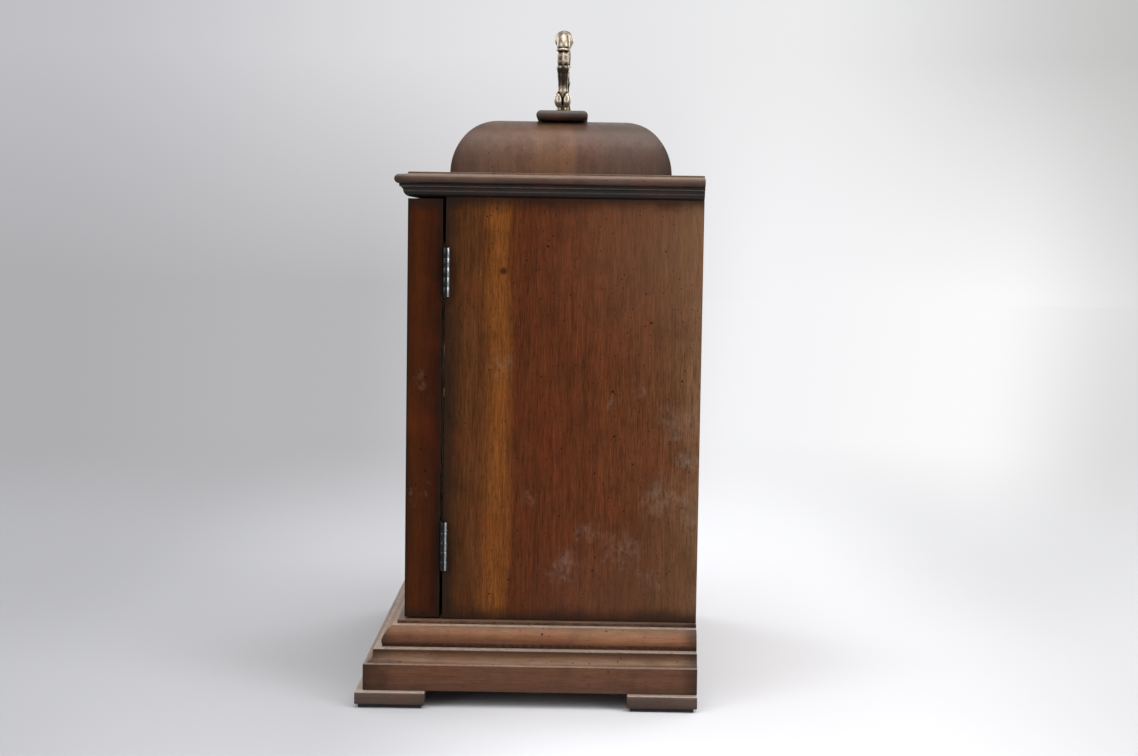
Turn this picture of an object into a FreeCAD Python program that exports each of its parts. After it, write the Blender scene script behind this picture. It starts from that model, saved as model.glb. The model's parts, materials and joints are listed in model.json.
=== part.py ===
import FreeCAD, Part
import math
import os

V = FreeCAD.Vector

# Bracket clock in millimetres. Origin: middle of the footprint, on the surface it stands on.
# +X is the viewer's right seen from the front, the front faces -Y, +Z is up.

# ---------------------------------------------------------------- case sizes
felt_thickness = 2.0
felt_inset = 1.7
foot_height = 6.6
foot_side = 36.3
foot_projection = 23.6
foot_edge = 3.9
base_height = 33.9
base_wall_in = 6.0
base_panel_thickness = 12.0
base_rail_thickness = 12.0
case_width = 212.0
side_depth = 133.8
side_height = 221.5
side_thickness = 12.0
bottom_thickness = 10.0
crown_height = 12.8
crown_wall_in = 8.0
bell_width = 168.0
bell_depth = 117.2
bell_back_gap = 16.2
bell_height = 29.4
bell_run = 25.4
bell_cap_thickness = 12.0
plinth_length = 140.0
plinth_depth = 27.6
plinth_height = 5.5

# ---------------------------------------------------------------- front door
door_thickness = 18.2
door_gap = 1.6
door_end_gap = 1.0
door_member = 24.0
rebate_width = 6.0
rebate_front = 7.0
glass_thickness = 2.5
glass_clearance = 0.4
bead_thickness = 7.0
tenon_length = 16.0
tenon_thickness = 6.0
tenon_height = 11.0
tenon_edge = 5.0
tenon_front = 6.0
knob_radius = 5.0
knob_length = 12.0
knob_stem_radius = 2.4

# ---------------------------------------------------------------- butt hinges of the front door
hinge_length = 25.4
hinge_knuckles = 5
knuckle_gap = 0.1
hinge_radius = 2.1
hinge_pin_radius = 1.0
hinge_bore_clearance = 0.05
hinge_leaf = 0.75
hinge_leaf_width = 9.0
hinge_out = 2.2
hinge_relief = 0.25
hinge_inset = 38.0
screw_radius = 1.0
screw_head_radius = 1.9
screw_length = 9.0
door_hinge_screws_apart = 14.0

# ---------------------------------------------------------------- rear door
rear_thickness = 6.0
rear_recess = 4.0
rear_gap = 1.5
rear_hinge_edge_gap = 1.4
rear_hinge_length = 20.0
rear_hinge_radius = 1.8
rear_pin_radius = 0.8
rear_leaf = 0.7
rear_leaf_width = 11.0
rear_hinge_out = 1.9
rear_hinge_inset = 36.0
rear_knob_radius = 3.6
rear_knob_length = 3.6
rear_vent_radius = 5.0
rear_vent_spacing = 16.0
rear_vents = 5

# ---------------------------------------------------------------- handle
post_spacing = 92.0
post_base_radius = 5.0
post_base_height = 1.5
post_neck_radius = 3.3
post_head_width = 6.0
post_head_radius = 3.9
post_stud_radius = 1.6
post_stud_length = 14.0
handle_axis_height = 7.8
handle_pin_radius = 1.5
handle_bore_clearance = 0.05
handle_side_clearance = 0.3
eye_thickness = 3.6
eye_radius = 3.7
arm_inset = 3.0
lobe_radius = 2.5
lobe_offset = 2.5
lobe_straight = 2.0
lobe_drop = 0.9
handle_reach = 36.1
grip_ball_radius = 5.4
neck_radius = 2.55
arm_radius = 3.4
bend_radius = 6.5
grip_radius = 3.0
grip_rise = 4.2
bead_radius = 4.15
bead_height = 6.7
bead_drop = 11.7
arm_collar_radius = 3.85
arm_collar_height = 1.3
arm_collar_gap = 0.5
grip_collar_radius = 4.3
grip_collar_width = 2.4
grip_collar_out = 12.0

# ---------------------------------------------------------------- dial and hands
dial_side_gap = 6.0
dial_end_lap = 4.25
dial_thickness = 2.0
dial_recess = 1.0
batten_thickness = 8.0
batten_lap = 8.0
chapter_outer = 72.0
chapter_inner = 52.0
chapter_thickness = 1.5
spandrel_thickness = 1.2
spandrel_gap = 2.5
spandrel_side_gap = 9.0
spandrel_leg = 44.0
spandrel_hole = 2.6
dial_hole = 4.6
winding_hole = 4.2
dial_screw_inset = 4.0
dial_foot_radius = 2.5
dial_foot_spigot = 1.2
dial_foot_offset = 36.0
dial_to_plate = 13.2
hour_hand_length = 45.0
minute_hand_length = 64.0
hand_thickness = 1.0
hour_hand_lift = 2.2
minute_hand_gap = 1.2
hand_nut_height = 1.9
hand_nut_radius = 2.6
hour_hub_radius = 6.0
minute_hub_radius = 4.5

# ---------------------------------------------------------------- movement plates and pillars
plate_thickness = 3.0
plates_apart = 53.0
plate_half_width = 46.0
plate_below = 73.25
plate_above = 64.0
pillar_radius = 4.0
pillar_knop = 5.4
pillar_x = 38.0
pillar_low = 66.0
pillar_high = 56.0
plate_screw_radius = 1.2
plate_screw_head = 3.2
plate_screw_head_height = 1.8
plate_screw_depth = 7.0
thread_clearance = 0.05
seat_thickness = 10.0
seat_front_margin = 2.0
seat_back_margin = 3.0
seat_dado = 3.0
seat_bolt_radius = 1.5
seat_bolt_head = 3.4
seat_bolt_head_height = 2.0
seat_bolt_grip = 3.0

# ---------------------------------------------------------------- wheel train: teeth, modules, planes
great_teeth = 72
great_pinion = 12
great_module = 0.70
second_teeth = 60
centre_pinion = 12
second_module = 0.55
centre_teeth = 84
third_pinion = 7
centre_module = 0.40
third_teeth = 78
escape_pinion = 6
third_module = 0.38
cannon_teeth = 12
minute_teeth = 36
cannon_module = 0.50
minute_pinion = 10
hour_teeth = 40
escape_teeth = 36
escape_radius = 13.5
escape_root = 11.6
ratchet_teeth = 24
ratchet_radius = 8.0
ratchet_root = 6.6
second_x = 11.0
third_x = -12.0
minute_stud_angle = 30.0
wheel_addendum = 0.9
wheel_dedendum = 1.1
pinion_addendum = 0.5
pinion_dedendum = 1.35
wheel_tooth = 0.42
pinion_tooth = 0.32
arbor_radius = 1.4
pivot_radius = 0.8
pivot_clearance = 0.04
end_shake = 0.3
pivot_length = 2.8
great_plane = 24.0
great_thick = 2.5
second_plane = 30.0
second_thick = 2.0
centre_plane = 18.0
centre_thick = 1.6
third_plane = 36.0
third_thick = 1.4
escape_plane = 43.0
escape_thick = 1.4
pinion_overlap = 1.0
crossing_rim = 2.2
crossing_arm = 1.8
crossing_hub = 3.2

# ---------------------------------------------------------------- barrel, winding and motion work
drum_radius = 22.0
drum_length = 20.0
drum_wall = 1.6
barrel_cap_thickness = 1.4
barrel_arbor_radius = 3.5
barrel_front_pivot = 3.0
barrel_rear_pivot = 2.5
winding_square = 3.6
winding_length = 8.0
spring_turns = 8
spring_strip = 0.5
spring_side_gap = 0.6
spring_wall_gap = 0.3
spring_pitch = 0.62
ratchet_gap = 0.4
ratchet_thick = 2.0
click_x = -13.0
click_z = 9.5
click_clear = 0.17
click_hub = 3.0
click_screw_radius = 1.2
centre_front_radius = 1.5
cannon_pipe = 2.3
hour_pipe = 3.4
pipe_clearance = 0.06
cannon_plane = 2.2
cannon_thick = 2.6
minute_plane = 2.8
minute_thick = 1.4
hour_plane = 5.6
hour_thick = 1.4
minute_pinion_length = 3.4
minute_stud_radius = 1.5
minute_stud_shoulder = 2.4

# ---------------------------------------------------------------- anchor and pendulum
anchor_above_escape = 17.0
pallet_thick = 3.4
pallet_gap = 1.3
arbor_hole_rear = 4.5
cock_reach = 16.0
cock_thickness = 3.0
cock_half_width = 13.0
cock_foot_low = 8.0
cock_foot_high = 18.0
cock_arm_half = 5.0
pendulum_length = 102.0
pendulum_plane = 9.0
rod_radius = 1.0
bob_radius = 15.0
bob_thickness = 8.0
nut_radius = 3.6
nut_height = 3.0
rod_below_bob = 8.0
collet_radius = 3.4
collet_length = 6.0

# ---------------------------------------------------------------- places worked out from the sizes
total_depth = foot_projection + door_thickness + door_gap + side_depth
back_y = total_depth / 2
case_y = back_y - side_depth
door_back_y = case_y - door_gap
door_y = door_back_y - door_thickness
half_width = case_width / 2
inner_x = half_width - side_thickness
foot_z = felt_thickness
base_z = foot_z + foot_height
case_z = base_z + base_height
crown_z = case_z + side_height
bell_z = crown_z + crown_height
cap_z = bell_z + bell_height
plinth_top = cap_z + plinth_height
floor_z = case_z + bottom_thickness
bell_back = back_y - bell_back_gap
bell_mid = bell_back - bell_depth / 2
handle_z = plinth_top + handle_axis_height

door_low = case_z + door_end_gap
door_high = crown_z - door_end_gap
sight_x = half_width - door_member
sight_low = door_low + door_member
sight_high = door_high - door_member
glass_y = door_y + rebate_front
hinge_x = half_width + hinge_out
hinge_y = door_back_y + hinge_radius

dial_z = (sight_low + sight_high) / 2
dial_width = 2 * (inner_x - dial_side_gap)
dial_height = sight_high - sight_low + 2 * dial_end_lap
dial_front = case_y + dial_recess
dial_back = dial_front + dial_thickness
chapter_front = dial_front - chapter_thickness
plate_front = dial_back + dial_to_plate
plate_back = plate_front + plate_thickness
rear_plate_front = plate_back + plates_apart
rear_plate_back = rear_plate_front + plate_thickness


def pitch_gap(teeth, leaves, module):
    # distance between the arbors of a wheel and a pinion
    return (teeth + leaves) * module / 2


hour_module = pitch_gap(minute_teeth, cannon_teeth, cannon_module) * 2 / (hour_teeth + minute_pinion)
second_gap = pitch_gap(second_teeth, centre_pinion, second_module)
great_gap = pitch_gap(great_teeth, great_pinion, great_module)
third_gap = pitch_gap(centre_teeth, third_pinion, centre_module)
escape_gap = pitch_gap(third_teeth, escape_pinion, third_module)
stud_gap = pitch_gap(minute_teeth, cannon_teeth, cannon_module)

centre_at = (0.0, dial_z)
second_at = (second_x, dial_z - math.sqrt(second_gap ** 2 - second_x ** 2))
barrel_at = (0.0, second_at[1] - math.sqrt(great_gap ** 2 - second_x ** 2))
third_at = (third_x, dial_z + math.sqrt(third_gap ** 2 - third_x ** 2))
escape_at = (0.0, third_at[1] + math.sqrt(escape_gap ** 2 - third_x ** 2))
anchor_at = (0.0, escape_at[1] + anchor_above_escape)
stud_at = (
    stud_gap * math.cos(math.radians(minute_stud_angle)),
    dial_z + stud_gap * math.sin(math.radians(minute_stud_angle)),
)
bob_z = anchor_at[1] - pendulum_length
rod_y = rear_plate_back + pendulum_plane

os.makedirs("parts", exist_ok=True)


def save(name, solids):
    # one file per node; several solids stay separate inside it
    shape = solids[0] if len(solids) == 1 else Part.makeCompound(solids)
    shape.exportStep("parts/" + name + ".step")


# ================================================================ basic shapes
def block(x0, x1, y0, y1, z0, z1):
    return Part.makeBox(x1 - x0, y1 - y0, z1 - z0, V(x0, y0, z0))


def rod_along_y(radius, y0, y1, at):
    return Part.makeCylinder(radius, y1 - y0, V(at[0], y0, at[1]), V(0, 1, 0))


def rod_along_z(radius, z0, z1, x, y):
    return Part.makeCylinder(radius, z1 - z0, V(x, y, z0), V(0, 0, 1))


def rod_along_x(radius, x0, x1, y, z):
    return Part.makeCylinder(radius, x1 - x0, V(x0, y, z), V(1, 0, 0))


def prism_y(points, y0, y1):
    # polygon of (x, z) points pushed along +Y
    corners = [V(p[0], y0, p[1]) for p in points]
    face = Part.Face(Part.makePolygon(corners + corners[:1]))
    return face.extrude(V(0, y1 - y0, 0))


def prism_z(points, z0, z1):
    # polygon of (x, y) points pushed along +Z
    corners = [V(p[0], p[1], z0) for p in points]
    face = Part.Face(Part.makePolygon(corners + corners[:1]))
    return face.extrude(V(0, 0, z1 - z0))


def mirrored(shape):
    # the same piece on the other side of the middle plane
    return shape.mirror(V(0, 0, 0), V(1, 0, 0))


def turned(points, x, y):
    # body of revolution about a vertical axis from (radius, z) points
    corners = [V(x + p[0], y, p[1]) for p in points]
    face = Part.Face(Part.makePolygon(corners + corners[:1]))
    return face.revolve(V(x, y, 0), V(0, 0, 1), 360)


def turned_y(points, at):
    # body of revolution about an axis along Y from (radius, y) points
    corners = [V(at[0] + p[0], p[1], at[1]) for p in points]
    face = Part.Face(Part.makePolygon(corners + corners[:1]))
    return face.revolve(V(at[0], 0, at[1]), V(0, 1, 0), 360)


# ================================================================ mouldings
def profile_face(steps, place):
    # closed profile: ("line", p, z) and ("arc", middle p, middle z, p, z)
    start = steps[0][1:]
    here = start
    edges = []
    for step in steps[1:]:
        end = step[-2:]
        if step[0] == "arc":
            edges.append(Part.Arc(place(*here), place(*step[1:3]), place(*end)).toShape())
        else:
            edges.append(Part.LineSegment(place(*here), place(*end)).toShape())
        here = end
    edges.append(Part.LineSegment(place(*here), place(*start)).toShape())
    return Part.Face(Part.Wire(edges))


def planted_moulding(steps, wall_in, reach):
    # front length and right-hand return of a moulding that goes round three sides of the case
    def at_front(p, z):
        return V(-half_width - reach, door_y - p, z)

    def at_side(p, z):
        return V(half_width + p, door_y - reach, z)

    low = min(s[-1] for s in steps)
    high = max(s[-1] for s in steps)
    front = profile_face(steps, at_front).extrude(V(2 * (half_width + reach), 0, 0))
    side = profile_face(steps, at_side).extrude(V(0, back_y - door_y + reach, 0))
    inner_edge = half_width - wall_in
    outer_edge = half_width + reach
    mitre = [
        (-inner_edge, door_y + wall_in), (inner_edge, door_y + wall_in),
        (outer_edge, door_y - reach), (-outer_edge, door_y - reach),
    ]
    corner = [
        (inner_edge, back_y), (outer_edge, back_y),
        (outer_edge, door_y - reach), (inner_edge, door_y + wall_in),
    ]
    return front.common(prism_z(mitre, low, high)), side.common(prism_z(corner, low, high))


def base_steps():
    # ledge, ovolo, ledge, fillet, cove and plain fascia, from the top down
    z = base_z
    top = case_z
    return [
        ("line", -base_wall_in, top),
        ("line", 3.3, top),
        ("line", 3.3, top - 2.2),
        ("line", 5.9, top - 2.3),
        ("arc", 9.4, top - 5.9, 11.1, top - 10.0),
        ("line", 10.5, top - 12.5),
        ("line", 10.5, top - 13.1),
        ("line", 14.8, top - 13.1),
        ("line", 15.2, top - 16.9),
        ("arc", 16.6, top - 19.1, foot_projection - foot_edge, top - 20.2),
        ("line", foot_projection - foot_edge, z),
        ("line", -base_wall_in, z),
    ]


def crown_steps():
    # small step, bullnose, fillet and ogee, from the top down
    z = crown_z
    top = bell_z
    return [
        ("line", -crown_wall_in, top),
        ("line", 0.1, top),
        ("line", 0.1, top - 0.9),
        ("line", 0.9, top - 1.1),
        ("line", 4.0, top - 1.4),
        ("arc", 6.7, top - 3.9, 4.8, top - 6.2),
        ("line", 4.3, top - 6.3),
        ("line", 4.3, top - 7.7),
        ("arc", 2.9, top - 8.6, 2.4, top - 9.8),
        ("arc", 1.5, top - 11.7, -2.4, z),
        ("line", -crown_wall_in, z),
    ]


def make_mouldings():
    base_front, base_side = planted_moulding(base_steps(), base_wall_in, foot_projection)
    save("base_moulding_front", [base_front])
    save("base_moulding_returns", [base_side, mirrored(base_side)])
    crown_front, crown_side = planted_moulding(crown_steps(), crown_wall_in, foot_projection)
    save("crown_moulding_front", [crown_front])
    save("crown_moulding_returns", [crown_side, mirrored(crown_side)])


# ================================================================ bell top
def make_bell():
    # four mitred quarter-elliptical mouldings round a flat cap, hollow below
    half_x = bell_width / 2
    half_y = bell_depth / 2
    top_x = half_x - bell_run
    top_y = half_y - bell_run

    def quarter(place):
        curve = []
        for i in range(5):
            a = math.pi / 2 * i / 4
            curve.append(place(bell_run * math.cos(a), bell_z + bell_height * math.sin(a)))
        inner = place(0, bell_z)
        edges = [
            Part.LineSegment(inner, curve[0]).toShape(),
            Part.Arc(curve[0], curve[1], curve[2]).toShape(),
            Part.Arc(curve[2], curve[3], curve[4]).toShape(),
            Part.LineSegment(curve[4], inner).toShape(),
        ]
        return Part.Face(Part.Wire(edges))

    def at_front(p, z):
        return V(-half_x, bell_mid - top_y - p, z)

    def at_side(p, z):
        return V(top_x + p, bell_mid - half_y, z)

    long_mitre = [
        (-top_x, bell_mid - top_y), (top_x, bell_mid - top_y),
        (half_x, bell_mid - half_y), (-half_x, bell_mid - half_y),
    ]
    short_mitre = [
        (top_x, bell_mid - top_y), (top_x, bell_mid + top_y),
        (half_x, bell_mid + half_y), (half_x, bell_mid - half_y),
    ]
    front = quarter(at_front).extrude(V(2 * half_x, 0, 0))
    front = front.common(prism_z(long_mitre, bell_z, cap_z))
    side = quarter(at_side).extrude(V(0, 2 * half_y, 0))
    side = side.common(prism_z(short_mitre, bell_z, cap_z))
    back = front.mirror(V(0, bell_mid, 0), V(0, 1, 0))
    cap = block(-top_x, top_x, bell_mid - top_y, bell_mid + top_y, cap_z - bell_cap_thickness, cap_z)
    for x in (-post_spacing / 2, post_spacing / 2):
        cap = cap.cut(rod_along_z(post_stud_radius, cap_z - bell_cap_thickness, cap_z, x, bell_mid))
    save("bell_mouldings_long", [front, back])
    save("bell_mouldings_short", [side, mirrored(side)])
    save("bell_cap", [cap])


# ================================================================ carcase
def make_case():
    # side panels with the groove that the seatboard sits in
    seat_z = dial_z - plate_below - seat_thickness
    seat_y0 = plate_front - seat_front_margin
    seat_y1 = rear_plate_back + seat_back_margin
    side = block(inner_x, half_width, case_y, back_y, case_z, crown_z)
    side = side.cut(
        block(inner_x, inner_x + seat_dado, seat_y0, seat_y1, seat_z, seat_z + seat_thickness)
    )
    left = mirrored(side)
    for z in front_hinge_heights():
        for screw in case_leaf_screws(z):
            side = side.cut(screw)
    for z in rear_hinge_heights():
        for screw in rear_case_screws(z):
            side = side.cut(screw)
    save("case_side_right", [side])
    save("case_side_left", [left])
    save("seatboard", [make_seatboard(seat_y0, seat_y1, seat_z)])

    bottom = block(-inner_x, inner_x, case_y, back_y, case_z, floor_z)
    save("case_bottom_board", [bottom])

    crown_in = half_width - crown_wall_in
    top = block(-crown_in, crown_in, door_y + crown_wall_in, back_y, crown_z, bell_z)
    save("case_top_board", [top])

    base_in = half_width - base_wall_in
    panel_z = case_z - base_panel_thickness
    panel = block(-base_in, base_in, door_y + base_wall_in, back_y, panel_z, case_z)
    save("base_panel", [panel])
    rail = block(-base_in, base_in, back_y - base_rail_thickness, back_y, base_z, panel_z)
    save("base_back_rail", [rail])


def make_seatboard(y0, y1, z):
    board = block(-inner_x - seat_dado, inner_x + seat_dado, y0, y1, z, z + seat_thickness)
    for bolt in seat_bolts():
        board = board.cut(bolt)
    return board


def make_feet():
    outer_x = half_width + foot_projection
    front_y = door_y - foot_projection
    feet = []
    felts = []
    for x0 in (outer_x - foot_side, -outer_x):
        for y0 in (front_y, back_y - foot_side):
            feet.append(block(x0, x0 + foot_side, y0, y0 + foot_side, foot_z, base_z))
            felts.append(
                block(
                    x0 + felt_inset, x0 + foot_side - felt_inset,
                    y0 + felt_inset, y0 + foot_side - felt_inset, 0, foot_z,
                )
            )
    save("feet", feet)
    save("felt_pads", felts)


# ================================================================ screws
def wood_screw(x, y, z, direction, length):
    # countersunk screw: head flush with its face, shank along the direction
    head = Part.makeCone(screw_head_radius, screw_radius, screw_head_radius - screw_radius,
                         V(x, y, z), direction)
    shank = Part.makeCylinder(screw_radius, length, V(x, y, z), direction)
    return head.fuse(shank).removeSplitter()


def front_hinge_heights():
    # middles of the two front door hinges
    return (door_low + hinge_inset, door_high - hinge_inset)


def rear_hinge_heights():
    return (floor_z + rear_hinge_inset, crown_z - rear_hinge_inset)


def screw_pair(z):
    return (z - door_hinge_screws_apart / 2, z + door_hinge_screws_apart / 2)


def leaf_screw_x():
    return half_width - hinge_leaf_width / 2


def case_leaf_screws(z):
    y = case_y - hinge_leaf
    return [wood_screw(leaf_screw_x(), y, s, V(0, 1, 0), screw_length) for s in screw_pair(z)]


def door_leaf_screws(z):
    y = door_back_y + hinge_leaf
    return [wood_screw(leaf_screw_x(), y, s, V(0, -1, 0), screw_length) for s in screw_pair(z)]


def rear_case_screws(z):
    x = inner_x - rear_leaf
    y = back_y - rear_leaf_width / 2 - rear_hinge_radius
    return [wood_screw(x, y, s, V(1, 0, 0), screw_length) for s in screw_pair(z)]


def rear_door_screws(z):
    x = inner_x - rear_hinge_out - rear_leaf_width / 2 - rear_hinge_radius
    y = back_y - rear_recess + rear_leaf
    return [wood_screw(x, y, s, V(0, -1, 0), rear_thickness) for s in screw_pair(z)]


def dial_screws():
    x = dial_width / 2 - dial_screw_inset
    z = dial_height / 2 - dial_screw_inset
    places = [(sx * x, dial_z + sz * z) for sx in (-1, 1) for sz in (-1, 1)]
    return [wood_screw(px, dial_front, pz, V(0, 1, 0), screw_length) for px, pz in places]


# ================================================================ hinges
def knuckle(radius, bore, z0, z1, x, y):
    return rod_along_z(radius, z0, z1, x, y).cut(rod_along_z(bore, z0, z1, x, y))


def knuckle_spans(middle, length):
    step = length / hinge_knuckles
    low = middle - length / 2
    return [
        (low + i * step + knuckle_gap / 2, low + (i + 1) * step - knuckle_gap / 2)
        for i in range(hinge_knuckles)
    ]


def hinge_half(spans, own, leaf, relief, radius, bore, x, y):
    # one leaf with its own knuckles, cut back where the other leaf's knuckles turn
    half = leaf
    for i, (z0, z1) in enumerate(spans):
        if i % 2 == own:
            half = half.cut(rod_along_z(bore, z0, z1, x, y))
            half = half.fuse(knuckle(radius, bore, z0, z1, x, y))
        else:
            half = half.cut(
                rod_along_z(radius + relief, z0 - knuckle_gap, z1 + knuckle_gap, x, y)
            )
    return half.removeSplitter()


def front_hinge(z):
    z0 = z - hinge_length / 2
    z1 = z + hinge_length / 2
    x0 = half_width - hinge_leaf_width
    spans = knuckle_spans(z, hinge_length)
    case_leaf = block(x0, hinge_x - hinge_pin_radius, case_y - hinge_leaf, case_y, z0, z1)
    door_leaf = block(x0, hinge_x, door_back_y, door_back_y + hinge_leaf, z0, z1)
    case_half = hinge_half(spans, 0, case_leaf, hinge_relief, hinge_radius,
                           hinge_pin_radius, hinge_x, hinge_y)
    door_half = hinge_half(spans, 1, door_leaf, hinge_relief, hinge_radius,
                           hinge_pin_radius + hinge_bore_clearance, hinge_x, hinge_y)
    for screw in case_leaf_screws(z):
        case_half = case_half.cut(screw)
    for screw in door_leaf_screws(z):
        door_half = door_half.cut(screw)
    pin = rod_along_z(hinge_pin_radius, z0 - knuckle_gap, z1 + knuckle_gap, hinge_x, hinge_y)
    return case_half, door_half, pin


def rear_hinge(z):
    x = inner_x - rear_hinge_out
    y = back_y - rear_recess + rear_hinge_out
    z0 = z - rear_hinge_length / 2
    z1 = z + rear_hinge_length / 2
    spans = knuckle_spans(z, rear_hinge_length)
    face_y = back_y - rear_recess
    case_leaf = block(inner_x - rear_leaf, inner_x, y - rear_leaf_width - rear_hinge_radius, y, z0, z1)
    door_leaf = block(x - rear_leaf_width - rear_hinge_radius, x, face_y, face_y + rear_leaf, z0, z1)
    case_half = hinge_half(spans, 0, case_leaf, hinge_relief, rear_hinge_radius,
                           rear_pin_radius, x, y)
    door_half = hinge_half(spans, 1, door_leaf, hinge_relief, rear_hinge_radius,
                           rear_pin_radius + hinge_bore_clearance, x, y)
    for screw in rear_case_screws(z):
        case_half = case_half.cut(screw)
    for screw in rear_door_screws(z):
        door_half = door_half.cut(screw)
    pin = rod_along_z(rear_pin_radius, z0 - knuckle_gap, z1 + knuckle_gap, x, y)
    return case_half, door_half, pin


def make_hinges():
    case_leaves = []
    door_leaves = []
    rear_leaves = []
    pins = []
    case_screws = dial_screws()
    door_screws = []
    for z in front_hinge_heights():
        case_half, door_half, pin = front_hinge(z)
        case_leaves.append(case_half)
        door_leaves.append(door_half)
        pins.append(pin)
        case_screws += case_leaf_screws(z)
        door_screws += door_leaf_screws(z)
    for z in rear_hinge_heights():
        case_half, door_half, pin = rear_hinge(z)
        case_leaves.append(case_half)
        rear_leaves.append(door_half)
        rear_leaves += rear_door_screws(z)
        pins.append(pin)
        case_screws += rear_case_screws(z)
    save("case_hinge_leaves", case_leaves)
    save("door_hinge_leaves", door_leaves)
    save("rear_door_hinge_leaves", rear_leaves)
    save("hinge_pins", pins)
    save("case_screws", case_screws)
    save("door_screws", door_screws)


# ================================================================ front door
def make_door():
    # stiles run full height, rails are tenoned between them, glass lies in a rebate from behind
    rebate = block(
        -sight_x - rebate_width, sight_x + rebate_width, glass_y, door_back_y,
        sight_low - rebate_width, sight_high + rebate_width,
    )
    tenon_y = door_y + tenon_front
    top_tenon_z = door_high - tenon_edge - tenon_height
    low_tenon_z = door_low + tenon_edge
    tenon_x = sight_x + tenon_length
    stile = block(sight_x, half_width, door_y, door_back_y, door_low, door_high).cut(rebate)
    rails = []
    for z0, tz in ((door_low, low_tenon_z), (sight_high, top_tenon_z)):
        tenon = block(-tenon_x, tenon_x, tenon_y, tenon_y + tenon_thickness, tz, tz + tenon_height)
        stile = stile.cut(tenon)
        rail = block(-sight_x, sight_x, door_y, door_back_y, z0, z0 + door_member).cut(rebate)
        rails.append(rail.fuse(tenon).removeSplitter())
    left = mirrored(stile)
    for z in front_hinge_heights():
        for screw in door_leaf_screws(z):
            stile = stile.cut(screw)
    knob_x = -half_width + door_member / 2
    left = left.cut(rod_along_y(screw_radius, door_y, door_y + screw_length, (knob_x, dial_z)))
    save("door_stiles", [stile, left])
    save("door_rails", rails)

    gx = sight_x + rebate_width - glass_clearance
    glass = block(-gx, gx, glass_y, glass_y + glass_thickness,
                  sight_low - rebate_width + glass_clearance,
                  sight_high + rebate_width - glass_clearance)
    save("door_glass", [glass])
    bead_y = glass_y + glass_thickness
    beads = []
    for z0 in (sight_low - rebate_width, sight_high):
        beads.append(block(-sight_x - rebate_width, sight_x + rebate_width,
                           bead_y, bead_y + bead_thickness, z0, z0 + rebate_width))
    for x0 in (-sight_x - rebate_width, sight_x):
        beads.append(block(x0, x0 + rebate_width, bead_y, bead_y + bead_thickness,
                           sight_low, sight_high))
    save("glazing_beads", beads)

    tip = door_y - knob_length
    knob = turned_y(
        [
            (0, door_y + screw_length), (screw_radius, door_y + screw_length),
            (screw_radius, door_y), (knob_radius * 0.9, door_y),
            (knob_radius * 0.9, door_y - 1.0), (knob_stem_radius, door_y - 1.8),
            (knob_stem_radius, tip + knob_radius), (knob_radius * 0.8, tip + knob_radius * 0.8),
            (knob_radius, tip + knob_radius * 0.5), (knob_radius * 0.8, tip + knob_radius * 0.18),
            (knob_radius * 0.35, tip), (0, tip),
        ],
        (knob_x, dial_z),
    )
    save("door_knob", [knob])


# ================================================================ rear door
def make_rear_door():
    y1 = back_y - rear_recess
    y0 = y1 - rear_thickness
    low = floor_z + rear_gap
    high = crown_z - rear_gap
    panel = block(-inner_x + rear_gap, inner_x - rear_hinge_edge_gap, y0, y1, low, high)
    for z in rear_hinge_heights():
        for screw in rear_door_screws(z):
            panel = panel.cut(screw)
    for i in range(rear_vents):
        x = (i - (rear_vents - 1) / 2) * rear_vent_spacing
        panel = panel.cut(rod_along_y(rear_vent_radius, y0, y1, (x, anchor_at[1])))
    knob_at = (-inner_x + rear_gap + 2.5 * rear_knob_radius, (low + high) / 2)
    panel = panel.cut(rod_along_y(screw_radius, y0, y1, knob_at))
    knob = turned_y(
        [
            (0, y0), (screw_radius, y0), (screw_radius, y1), (rear_knob_radius * 0.6, y1),
            (rear_knob_radius * 0.45, y1 + rear_knob_length * 0.4),
            (rear_knob_radius, y1 + rear_knob_length * 0.7),
            (rear_knob_radius * 0.7, y1 + rear_knob_length), (0, y1 + rear_knob_length),
        ],
        knob_at,
    )
    save("rear_door_panel", [panel])
    save("rear_door_knob", [knob])


# ================================================================ handle
def bullnose_prism(length, depth, axis_x):
    # strip with a half-round edge on both long sides
    h = plinth_height
    r = h / 2
    half = depth / 2

    def at(p, z):
        if axis_x:
            return V(-length / 2, bell_mid + p, cap_z + z)
        return V(p, bell_mid - length / 2, cap_z + z)

    edges = [
        Part.LineSegment(at(-half + r, 0), at(half - r, 0)).toShape(),
        Part.Arc(at(half - r, 0), at(half, r), at(half - r, h)).toShape(),
        Part.LineSegment(at(half - r, h), at(-half + r, h)).toShape(),
        Part.Arc(at(-half + r, h), at(-half, r), at(-half + r, 0)).toShape(),
    ]
    push = V(length, 0, 0) if axis_x else V(0, length, 0)
    return Part.Face(Part.Wire(edges)).extrude(push)


def revolved(edges, x, y):
    # closed profile in the plane of X and Z, turned about the vertical line at x, y
    face = Part.Face(Part.Wire(edges))
    return face.revolve(V(x, y, 0), V(0, 0, 1), 360)


def lobe(x, y):
    # upright capsule beside the handle's axis
    low = -lobe_drop - lobe_straight / 2
    high = low + lobe_straight
    slant = lobe_radius / math.sqrt(2)
    edges = [
        Part.Arc(V(x, y, low - lobe_radius), V(x + slant, y, low - slant),
                 V(x + lobe_radius, y, low)).toShape(),
        Part.LineSegment(V(x + lobe_radius, y, low), V(x + lobe_radius, y, high)).toShape(),
        Part.Arc(V(x + lobe_radius, y, high), V(x + slant, y, high + slant),
                 V(x, y, high + lobe_radius)).toShape(),
        Part.LineSegment(V(x, y, high + lobe_radius), V(x, y, low - lobe_radius)).toShape(),
    ]
    return revolved(edges, x, y)


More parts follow.
